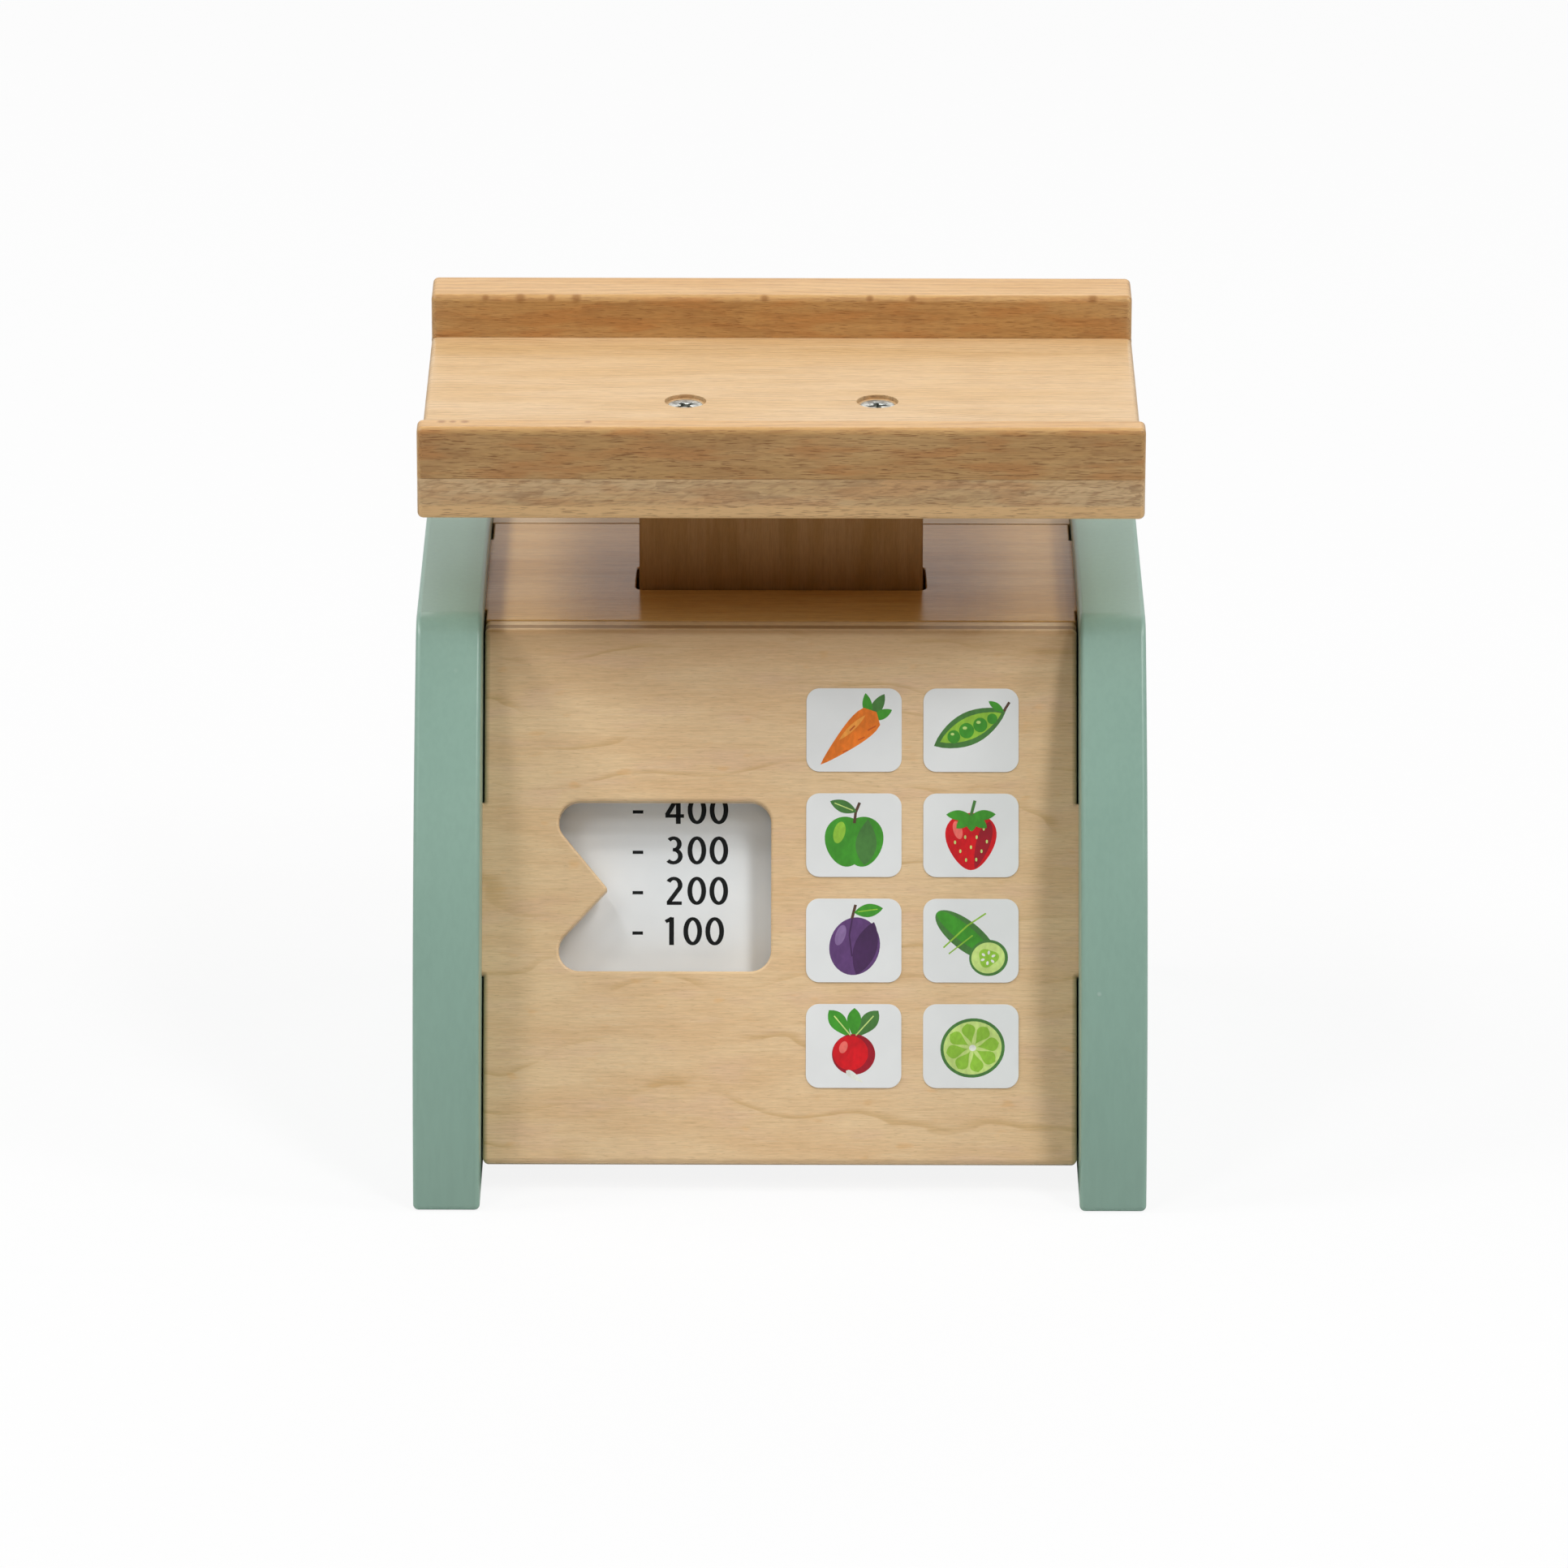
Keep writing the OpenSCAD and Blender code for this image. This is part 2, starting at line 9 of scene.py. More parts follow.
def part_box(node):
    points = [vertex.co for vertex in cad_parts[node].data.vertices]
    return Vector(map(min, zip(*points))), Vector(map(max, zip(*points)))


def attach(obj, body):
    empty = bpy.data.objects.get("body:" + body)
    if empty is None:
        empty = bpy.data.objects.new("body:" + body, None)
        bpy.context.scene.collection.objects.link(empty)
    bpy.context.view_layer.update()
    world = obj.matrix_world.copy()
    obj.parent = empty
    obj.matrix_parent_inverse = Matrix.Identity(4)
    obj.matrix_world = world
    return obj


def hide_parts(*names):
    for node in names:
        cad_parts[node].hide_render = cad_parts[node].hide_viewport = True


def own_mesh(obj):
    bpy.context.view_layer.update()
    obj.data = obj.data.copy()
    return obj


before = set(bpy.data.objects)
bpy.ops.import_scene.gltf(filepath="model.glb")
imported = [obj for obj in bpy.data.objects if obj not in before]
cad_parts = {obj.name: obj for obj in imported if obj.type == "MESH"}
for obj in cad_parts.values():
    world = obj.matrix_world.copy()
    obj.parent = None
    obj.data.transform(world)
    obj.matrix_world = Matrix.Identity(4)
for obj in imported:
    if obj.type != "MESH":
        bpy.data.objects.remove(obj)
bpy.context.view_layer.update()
scene = bpy.context.scene
MM = 0.001

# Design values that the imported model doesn't name
TILT = radians(25.5)
PANEL_T = 6 * MM
SIDE_CURVE_R = 209 * MM
SIDE_CURVE_DROP = 24 * MM
SIDE_CORNER_R = 10 * MM

# Joints
TONGUE_LOW = 42.4 * MM
TONGUE_HIGH = 81.7 * MM
TONGUE_DEPTH = 6 * MM
DECK_TONGUE_FRONT = -2.5 * MM
DECK_TONGUE_BACK = 46 * MM
DOWEL_R = 2.5 * MM
DOWEL_DEPTH = 10 * MM
DOWEL_PLAY = 0.05 * MM
PLAY = 0.15 * MM
SEAM = 0.4 * MM
GLUE = 0.05 * MM

# Roundings of edges and corners
PAINT_EASE = 1.2 * MM
PANEL_EASE = 1.2 * MM
PANEL_BACK_EASE = 0.5 * MM
WINDOW_EASE = 0.7 * MM
HOLE_EASE = 0.25 * MM
POCKET_EASE = 0.2 * MM
BOARD_EASE = 0.4 * MM
END_EASE = 1.3 * MM
SEAM_EASE = 0.12 * MM
CARD_EASE = 0.08 * MM
FILM_EASE = 0.06 * MM
SHOULDER_R = 0.25 * MM
MORTISE_R = 0.3 * MM
MITRE_R = 0.02 * MM

# Fineness of the meshes, and what tells a bar's flat top face from its roundings
ARC_SAG = 0.01 * MM
ARC_STEP = 10
EASE_STEPS = 4
FILL_EPSILON = 1e-6
LEVEL = 0.01 * MM
LEAST_TOP = 2 * MM

side_low, side_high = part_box("side_panel_left")
panel_low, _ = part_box("front_panel")
deck_low, deck_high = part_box("top_panel")
board_low, board_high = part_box("tray_board")
card_low, card_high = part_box("scale_card")
screw_low, screw_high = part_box("tray_screws")


def placed(u, v, w, origin=(0, 0, 0)):
    """Matrix that puts a piece's own axes u, v and w along the given directions."""
    turned = Matrix((u, v, w)).transposed().to_4x4()
    return Matrix.Translation(origin) @ turned


# Places of the pieces that are drawn flat: on the slope, as in the world, and across it in [Y, Z]
foot_y = panel_low.y
foot_z = panel_low.z + PANEL_T * sin(TILT)
UP_SLOPE = (0, sin(TILT), cos(TILT))
OUT_OF_FACE = (0, -cos(TILT), sin(TILT))
SLOPE = placed((1, 0, 0), UP_SLOPE, OUT_OF_FACE, (0, foot_y, foot_z))
FLAT = Matrix.Identity(4)
ACROSS = placed((0, 1, 0), (0, 0, 1), (1, 0, 0))
panel_top = (deck_high.z - foot_z) / cos(TILT)


def up_slope(y, z):
    """Distance of a [Y, Z] point up the slope."""
    return (SLOPE.inverted() @ Vector((0, y, z))).y


def from_slope(s, w):
    """The [Y, Z] point at a distance up the slope and a distance out of the face."""
    world = SLOPE @ Vector((0, s, w))
    return world.y, world.z


# Outlines are lists of (u, v, normal u, normal v), counter-clockwise
def arc(u, v, r, start, end):
    """Stretch of an outline round a centre, in degrees; a clockwise one is a hollow corner."""
    side = 1 if end > start else -1
    step = min(ARC_STEP, degrees(2 * acos(1 - min(0.5, ARC_SAG / r))))
    count = max(3, ceil(abs(end - start) / step))
    angles = [radians(start + (end - start) * k / count) for k in range(count + 1)]
    ways = [(cos(a), sin(a)) for a in angles]
    return [(u + r * c, v + r * s, side * c, side * s) for c, s in ways]


def circle(u, v, r):
    return arc(u, v, r, 0, 360)[:-1]


def corners(points, r):
    """Polygon with every corner rounded by r, or by its own radius where a point has a third number."""
    outline = []
    for i, here in enumerate(points):
        p, q, n = (Vector(points[k][:2]) for k in (i, i - 1, (i + 1) % len(points)))
        radius = here[2] if len(here) > 2 else r
        come, go = (p - q).normalized(), (n - p).normalized()
        turn = degrees(atan2(come.x * go.y - come.y * go.x, come.dot(go)))
        side = 1 if turn > 0 else -1
        centre = p + (go - come).normalized() * radius / cos(radians(turn / 2))
        start = degrees(atan2(-come.x * side, come.y * side))
        outline += arc(centre.x, centre.y, radius, start, start + turn)
    return outline


def box_outline(u0, v0, u1, v1, r):
    return corners([(u0, v0), (u1, v0), (u1, v1), (u0, v1)], r)


def both_sides(right):
    """Outline points of a right half, counter-clockwise, with their mirror images."""
    return right + [(-p[0], *p[1:]) for p in reversed(right)]


def inside(spot, spots, edges):
    """True where a line from the spot crosses the edges an odd number of times."""
    crossed = 0
    for a, b in edges:
        p, q = spots[a], spots[b]
        if (p.y > spot.y) != (q.y > spot.y):
            crossed += spot.x < p.x + (q.x - p.x) * (spot.y - p.y) / (q.y - p.y)
    return crossed % 2 == 1


class Shell:
    """A mesh made of rings of points, with the true normal kept at each face corner."""

    def __init__(self):
        self.points, self.faces, self.normals, self.slots = [], [], [], []

    def ring(self, points):
        first = len(self.points)
        self.points += [Vector(p) for p in points]
        return list(range(first, len(self.points)))

    def face(self, corner_list, normals, slot=0):
        self.faces.append(corner_list)
        self.normals += [Vector(n).normalized() for n in normals]
        self.slots.append(slot)

    def wall(self, low, high, low_normals, high_normals, flip=False, skip=None):
        """Joins two rings; its outside is on the right of the way round, or on the left with flip."""
        for i in range(len(low)):
            if i == skip:
                continue
            j = (i + 1) % len(low)
            quad = [low[i], low[j], high[j], high[i]]
            normals = [low_normals[i], low_normals[j], high_normals[j], high_normals[i]]
            self.face(quad[::-1] if flip else quad, normals[::-1] if flip else normals)

    def cap(self, rings, normal, slot=0):
        """Fills a flat outer ring round any inner rings."""
        normal = Vector(normal)
        thick = max(range(3), key=lambda axis: abs(normal[axis]))
        used = [axis for axis in range(3) if axis != thick]
        flat = [k for ring in rings for k in ring]
        spots = [Vector([self.points[k][axis] / MM for axis in used]) for k in flat]
        edges, first = [], 0
        for ring in rings:
            edges += [(first + i, first + (i + 1) % len(ring)) for i in range(len(ring))]
            first += len(ring)
        found = delaunay_2d_cdt(spots, edges, [], 1, FILL_EPSILON)
        places, triangles, sources = found[0], found[2], found[3]
        for triangle in triangles:
            spot = sum((places[k] for k in triangle), Vector((0, 0))) / 3
            if not inside(spot, spots, edges) or not all(sources[k] for k in triangle):
                continue
            a, b, c = (flat[sources[k][0]] for k in triangle)
            area = (self.points[b] - self.points[a]).cross(self.points[c] - self.points[a])
            self.face([a, b, c] if area.dot(normal) > 0 else [a, c, b], [normal] * 3, slot)

    def object(self, name, materials, matrix=FLAT):
        mesh = bpy.data.meshes.new(name)
        mesh.from_pydata(self.points, [], self.faces)
        mesh.polygons.foreach_set("use_smooth", [True] * len(self.faces))
        mesh.polygons.foreach_set("material_index", self.slots)
        mesh.normals_split_custom_set(self.normals)
        for material in materials:
            mesh.materials.append(material)
        made = bpy.data.objects.new(name, mesh)
        made.matrix_world = matrix
        scene.collection.objects.link(made)
        return made


def edge_profile(low, high, ease_low, ease_high):
    """Steps (w, inset, radial normal, axial normal) up a wall with a rounded edge at each end."""
    turns = [pi / 2 * k / EASE_STEPS for k in range(EASE_STEPS + 1)]
    steps = []
    for end, ease, way, angles in ((low, ease_low, 1, turns), (high, ease_high, -1, turns[::-1])):
        for a in angles:
            inset = ease * (1 - sin(a))
            steps.append((end + way * ease * (1 - cos(a)), inset, sin(a), -way * cos(a)))
    return steps


def stack(shell, outline, steps, hole):
    """Rings of an outline at each step, walled together; returns the first and the last ring."""
    side = -1 if hole else 1
    rings = []
    for w, inset, radial, axial in steps:
        points = [(u - side * inset * nu, v - side * inset * nv, w) for u, v, nu, nv in outline]
        normals = [(side * nu * radial, side * nv * radial, axial) for _, _, nu, nv in outline]
        rings.append((shell.ring(points), normals))
    for (low, low_normals), (high, high_normals) in zip(rings, rings[1:]):
        shell.wall(low, high, low_normals, high_normals, flip=hole)
    return rings[0][0], rings[-1][0]


def pocket(shell, outline, top, side, steps):
    """Blind hole from the face at w = top; steps are (inset, depth), and side is 1 for the upper face."""
    mouth = []
    for a in (0, pi / 4, pi / 2):
        fall, inset = POCKET_EASE * (1 - cos(a)), POCKET_EASE * (1 - sin(a))
        mouth.append((top - side * fall, inset, sin(a), side * cos(a)))
    first, last = stack(shell, outline, mouth if side < 0 else mouth[::-1], True)
    opening, rim = (first, last) if side < 0 else (last, first)
    before = (0, POCKET_EASE)
    for inset, depth in steps:
        points = [(u - inset * nu, v - inset * nv, top - side * depth) for u, v, nu, nv in outline]
        ring = shell.ring(points)
        fall, shift = depth - before[1], inset - before[0]
        normals = [(-nu * fall, -nv * fall, side * shift) for _, _, nu, nv in outline]
        shell.wall(rim, ring, normals, normals, flip=side < 0)
        rim, before = ring, (inset, depth)
    shell.cap([rim], (0, 0, side))
    return opening


def plate(outline, low, high, ease, ease_low=None, hole=None, hole_ease=WINDOW_EASE, pockets=()):
    """Board between w = low and w = high, with rounded edges, a through hole and pockets in its faces.
    A pocket is (outline, side, steps)."""
    shell = Shell()
    steps = edge_profile(low, high, ease if ease_low is None else ease_low, ease)
    bottom, top = stack(shell, outline, steps, False)
    bottoms, tops = [bottom], [top]
    if hole:
        first, last = stack(shell, hole, edge_profile(low, high, HOLE_EASE, hole_ease), True)
        bottoms.append(first)
        tops.append(last)
    for shape, side, depths in pockets:
        opening = pocket(shell, shape, high if side > 0 else low, side, depths)
        (tops if side > 0 else bottoms).append(opening)
    shell.cap(tops, (0, 0, 1))
    shell.cap(bottoms, (0, 0, -1))
    return shell


def lathe(shell, profile, sides=32):
    """Turned solid round the Z axis from (radius, z) points, lowest first, open at its top ring."""
    angles = [2 * pi * k / sides for k in range(sides)]
    ways = [(cos(a), sin(a)) for a in angles]
    rings = [shell.ring([(r * c, r * s, z) for c, s in ways]) for r, z in profile]
    for (r0, z0), (r1, z1), low, high in zip(profile, profile[1:], rings, rings[1:]):
        normals = [(c * (z1 - z0), s * (z1 - z0), r0 - r1) for c, s in ways]
        shell.wall(low, high, normals, normals)
    shell.cap([rings[0]], (0, 0, -1))
    return rings[-1]


def fence(shell, points, low, high, slot):
    """Sharp upright sides of a flat shape, counter-clockwise; returns the foot and the top ring."""
    bottom = shell.ring([(u, v, low) for u, v in points])
    top = shell.ring([(u, v, high) for u, v in points])
    for i, (u, v) in enumerate(points):
        j = (i + 1) % len(points)
        normal = (points[j][1] - v, u - points[j][0], 0)
        shell.face([bottom[i], bottom[j], top[j], top[i]], [normal] * 4, slot)
    return bottom, top


def slab(shell, points, low, high, slot=0):
    """Thin flat shape with sharp sides, from (u, v) points in either direction."""
    area = sum(a[0] * b[1] - b[0] * a[1] for a, b in zip(points, points[1:] + points[:1]))
    bottom, top = fence(shell, points if area > 0 else points[::-1], low, high, slot)
    shell.cap([top], (0, 0, 1), slot)
    shell.cap([bottom], (0, 0, -1), slot)


def smaller(points, inset):
    """The square-cornered polygon with its sides moved in by inset, and its corners' radii changed to suit.
    A point that has a fourth number ends a side that lies against another piece and stays."""
    moved = []
    for i, here in enumerate(points):
        after = points[(i + 1) % len(points)]
        p, q, n = (Vector(point[:2]) for point in (here, points[i - 1], after))
        come, go = (p - q).normalized(), (n - p).normalized()
        first, second = (0 if len(point) > 3 else inset for point in (here, after))
        out = first * Vector((come.y, -come.x)) + second * Vector((go.y, -go.x))
        side = 1 if come.x * go.y - come.y * go.x > 0 else -1
        radius = here[2] if len(here) > 2 else SEAM_EASE
        moved.append((*(p - out), max(radius - side * min(first, second), MITRE_R)))
    return moved


def bar(name, points, low, high, material, recesses=(), end_ease=END_EASE):
    """Length along X of a polygon in [Y, Z]; recesses are pockets in its flat top face."""
    shell = Shell()
    outline = corners(smaller(points, 0), 0)
    top = max(v for _, v, _, _ in outline)
    flat = next(i for i, (one, two) in enumerate(zip(outline, outline[1:] + outline[:1]))
                if min(one[1], two[1]) > top - LEVEL and one[0] - two[0] > LEAST_TOP)
    rings = []
    for w, inset, radial, axial in edge_profile(low, high, end_ease, end_ease):
        shape = corners(smaller(points, inset), 0)
        ring = shell.ring([(w, u, v) for u, v, _, _ in shape])
        rings.append((ring, [(axial, nu * radial, nv * radial) for _, _, nu, nv in shape]))
    for k, ((one, one_normals), (two, two_normals)) in enumerate(zip(rings, rings[1:])):
        shell.wall(one, two, one_normals, two_normals, skip=flat if k == EASE_STEPS else None)
    one, two = rings[EASE_STEPS][0], rings[EASE_STEPS + 1][0]
    after = (flat + 1) % len(outline)
    openings = [pocket(shell, *recess) for recess in recesses]
    shell.cap([[one[flat], one[after], two[after], two[flat]]] + openings, (0, 0, 1))
    shell.cap([rings[0][0]], (-1, 0, 0))
    shell.cap([rings[-1][0]], (1, 0, 0))
    return shell.object(name, [material])


def dress(piece, body, slot, *nodes):
    """Puts a piece on its body and hides the nodes that it stands for; slot, the name of its finish, is not
    used.
    """
    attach(piece, body)
    if nodes:
        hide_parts(*nodes)
    return piece


# Materials: texture sizes are in millimetres, and a noise runs from about 0.25 to 0.75
def rgba(colour):
    return colour if isinstance(colour, bpy.types.NodeSocket) else (*colour, 1)


def scaled(colour, shares):
    return [c * k for c, k in zip(colour, shares)]


class Nodes:
    """Short hand for the nodes of a material or a world."""

    def __init__(self, owner):
        owner.use_nodes = True
        self.tree = owner.node_tree
        self.tree.nodes.clear()

    def node(self, kind, inputs=None, **settings):
        made = self.tree.nodes.new("ShaderNode" + kind)
        for key, value in settings.items():
            setattr(made, key, value)
        for key, value in (inputs or {}).items():
            if isinstance(value, bpy.types.NodeSocket):
                self.tree.links.new(value, made.inputs[key])
            else:
                made.inputs[key].default_value = value
        return made

    def out(self, kind, inputs, result=0, **settings):
        return self.node(kind, inputs, **settings).outputs[result]

    def math(self, operation, a, b=0.0, c=0.0):
        return self.out("Math", {0: a, 1: b, 2: c}, operation=operation)

    def times(self, a, b):
        return self.math("MULTIPLY", a, b)


class Paint(Nodes):
    """A material. Texture places are in the piece's own axes."""

    def __init__(self, name):
        self.material = bpy.data.materials.new(name)
        super().__init__(self.material)
        where = self.node("TexCoord")
        self.place, self.facing = where.outputs["Object"], where.outputs["Normal"]

    def vector(self, operation, a, b=(0, 0, 0), c=(0, 0, 0), result="Vector"):
        return self.out("VectorMath", {0: a, 1: b, 2: c}, result, operation=operation)

    def parts(self, vector, order="xyz"):
        """The vector's components, in an order such as "zxy"."""
        split = self.node("SeparateXYZ", {0: vector})
        return [split.outputs[axis.upper()] for axis in order]

    def joined(self, parts):
        return self.out("CombineXYZ", dict(enumerate(parts)))

    def sized(self, size, shift, place=None):
        """The place in units of size, so that a texture's features are that large."""
        size = size if isinstance(size, tuple) else (size,)
        scale = [1 / (s * MM) for s in (*size, size[-1], size[-1])[:3]]
        return self.out("Mapping", {"Vector": place or self.place, "Location": shift, "Scale": scale})

    def noise(self, size, shift=(0, 0, 0), detail=2.0, place=None):
        inputs = {"Vector": self.sized(size, shift, place), "Scale": 1.0, "Detail": detail}
        return self.out("TexNoise", inputs, "Fac")

    def cells(self, size, shift=(0, 0, 0)):
        """Distance to the nearest of scattered points, and that point's own random value."""
        made = self.node("TexVoronoi", {"Vector": self.sized(size, shift), "Scale": 1.0})
        value = self.out("SeparateColor", {0: made.outputs["Color"]}, "Red")
        return made.outputs["Distance"], value

    def band(self, value, low, high, to_low=0.0, to_high=1.0):
        """Carries the values from low to high over to the other range, and holds them outside it."""
        inputs = {"Value": value, "From Min": low, "From Max": high, "To Min": to_low, "To Max": to_high}
        return self.out("MapRange", inputs, interpolation_type="SMOOTHSTEP")

    def spread(self, value, to_low=0.0, to_high=1.0):
        return self.band(value, 0.3, 0.7, to_low, to_high)

    def mix(self, factor, a, b, blend="MIX"):
        inputs = {0: factor, 6: rgba(a), 7: rgba(b)}
        return self.out("Mix", inputs, 2, data_type="RGBA", blend_type=blend)

    def shade(self, colour, amount):
        """Multiplies a colour by a grey amount."""
        return self.mix(1.0, colour, self.grey(amount), "MULTIPLY")

    def grey(self, amount):
        return self.out("CombineColor", {0: amount, 1: amount, 2: amount})

    def finish(self, colour, roughness, height=None, depth=0.0, **sockets):
        """Ends the material; height is its relief, which is depth deep."""
        inputs = {"Base Color": rgba(colour), "Roughness": roughness}
        if height is not None:
            inputs["Normal"] = self.out("Bump", {"Height": height, "Strength": 1.0, "Distance": depth})
        inputs.update({key.replace("_", " "): value for key, value in sockets.items()})
        self.node("OutputMaterial", {"Surface": self.out("BsdfPrincipled", inputs)})
        return self.material


# Depths of the reliefs
WOOD_RELIEF = 0.03 * MM
VENEER_RELIEF = 0.025 * MM
LACQUER_RELIEF = 0.012 * MM
PAPER_RELIEF = 0.004 * MM
METAL_RELIEF = 0.01 * MM
FELT_RELIEF = 0.2 * MM

# Sawn wood: the waves of its year rings (size, rise and detail), and the sizes of its marks
RING_WAVES = (((110, 35), 12 * MM, 1.5), ((30, 7), 2.2 * MM, 2), ((4.5, 1.6), 1.1 * MM, 2))
WORN, CLOUD, BLUSH = (10, 2.2), (50, 7), (16, 3)
STREAK, FIBRE, SMEAR = (16, 0.8), (2.6, 0.26), (3.5, 0.8)
PORE, PORE_GROUP, LONG_PORE = (3.0, 0.19), (9, 1.6), (7.5, 0.7)
SMEAR_LEAN = -0.3
# Height and colour of the painted bounce light from the floor along the foot of the tray board's sides
FLOOR_BOUNCE_TOP = 3.2 * MM
SMUDGE, FLOOR_BOUNCE_TONE, KNOT = (0.42, 0.24, 0.11), (0.76, 0.485, 0.228), (0.30, 0.13, 0.035)
BLUSH_SHARES, PORE_SHARES = (0.98, 0.80, 0.70), (0.62, 0.5, 0.42)
END_TONE = 0.82


def solid_wood(name, pale, warm, dark, order="xyz", core=(-120, 150), rings=2.2, shift=(0, 0, 0), flecks=0.6,
               figure=0.5, side_shade=0.86, roughness=0.36, ior=1.36, smudge=0, blush=0.6, knots=()):
    """Sawn and varnished wood. order puts the grain first, core is the tree's middle across it, and rings is
    the distance of its year rings. A knot is (place, radius)."""
    p = Paint(name)
    p.place = p.joined(p.parts(p.place, order))
    facing = p.parts(p.vector("ABSOLUTE", p.facing), order)
    end_face, side_face, flat_face = (p.band(part, 0.5, 0.85) for part in facing)

    across = p.vector("MULTIPLY_ADD", p.place, (0, 1, 1), (0, -core[0] * MM, -core[1] * MM))
    radius = p.vector("LENGTH", across, result="Value")
    for size, rise, detail in RING_WAVES:
        radius = p.math("MULTIPLY_ADD", p.noise(size, shift, detail), rise, radius)
    ring = p.math("FRACT", p.math("DIVIDE", radius, rings * MM))
    late = p.times(p.band(ring, 0.45, 0.92), p.band(ring, 1.0, 0.95))
    worn = p.noise(WORN, [s + 6 for s in shift])
    late = p.times(late, p.band(worn, 0.35, 0.62, 0.25, 1))

    cloud = p.noise(CLOUD, shift, 3)
    reddish = p.noise(BLUSH, [s + 3 for s in shift])
    streak = p.noise(STREAK, shift, 3)
    fibre = p.noise(FIBRE, shift)
    colour = p.mix(p.band(cloud, 0.35, 0.65), pale, warm)
    colour = p.mix(p.times(late, figure), colour, dark)
    amount = p.times(side_face, p.band(reddish, 0.44, 0.66, 0, blush))
    colour = p.mix(amount, colour, scaled(warm, BLUSH_SHARES))
    amount = p.times(p.band(streak, 0.42, 0.7), p.band(flat_face, 0, 1, 0.32, 0.2))
    colour = p.mix(amount, colour, dark)
    colour = p.shade(colour, p.band(fibre, 0.25, 0.75, 0.93, 1.06))
    if smudge:
        along, over, height = p.parts(p.place)
        slanted = p.joined((along, over, p.math("MULTIPLY_ADD", along, SMEAR_LEAN, height)))
        smear = p.noise(SMEAR, shift, 3, slanted)
        colour = p.mix(p.times(side_face, p.band(smear, 0.50, 0.68, 0, smudge)), colour, SMUDGE)
        # Painted bounce light: a paler band along the foot of the side faces, where light from the floor
        # falls
        limit = board_low.z + FLOOR_BOUNCE_TOP
        foot = p.band(height, limit + 0.5 * MM, limit - 0.4 * MM)
        colour = p.mix(p.times(side_face, foot), colour, FLOOR_BOUNCE_TONE)

    pore = p.band(p.noise(PORE, shift, 1), 0.55, 0.68)
    pore = p.times(pore, p.band(p.noise(PORE_GROUP, shift), 0.3, 0.65, 0.4, 1))
    distance, value = p.cells(LONG_PORE, shift)
    long_pore = p.times(p.band(distance, 0.33, 0.1), p.band(value, 0.74, 0.8, 0, 0.8))
    pore = p.math("MAXIMUM", pore, long_pore)
    amount = p.times(p.band(flat_face, 0, 1, flecks, flecks * 0.3), p.band(end_face, 0, 1, 1, 0.3))
    pore = p.times(pore, amount)
    colour = p.mix(pore, colour, scaled(dark, PORE_SHARES))
    # Painted shade: faces that look along the second axis are darkened by side_shade
    colour = p.shade(colour, p.band(side_face, 0, 1, 1, side_shade))
    colour = p.shade(colour, p.band(end_face, 0, 1, 1, END_TONE))
    for middle, size in knots:
        gap = p.vector("DISTANCE", p.place, middle, result="Value")
        colour = p.mix(p.band(gap, size * 0.95, size * 0.2, 0, 0.75), colour, KNOT)

    relief = p.math("MULTIPLY_ADD", fibre, 0.4, p.math("SUBTRACT", streak, pore))
    rough = p.spread(cloud, roughness - 0.03, roughness + 0.05)
    return p.finish(colour, rough, relief, WOOD_RELIEF, IOR=ior)


# Peeled veneer: the sizes of its marks, the plies below the face, and the reach of the painted shade under
# the tray
LINE_STEP = 13 * MM
CORE_MIDDLE, CORE_HALF = 2.4 * MM, 1.1 * MM
EDGE_MIDDLE, EDGE_HALF = 3.0 * MM, 2.6 * MM
TRAY_SHADE_REACH = 9 * MM


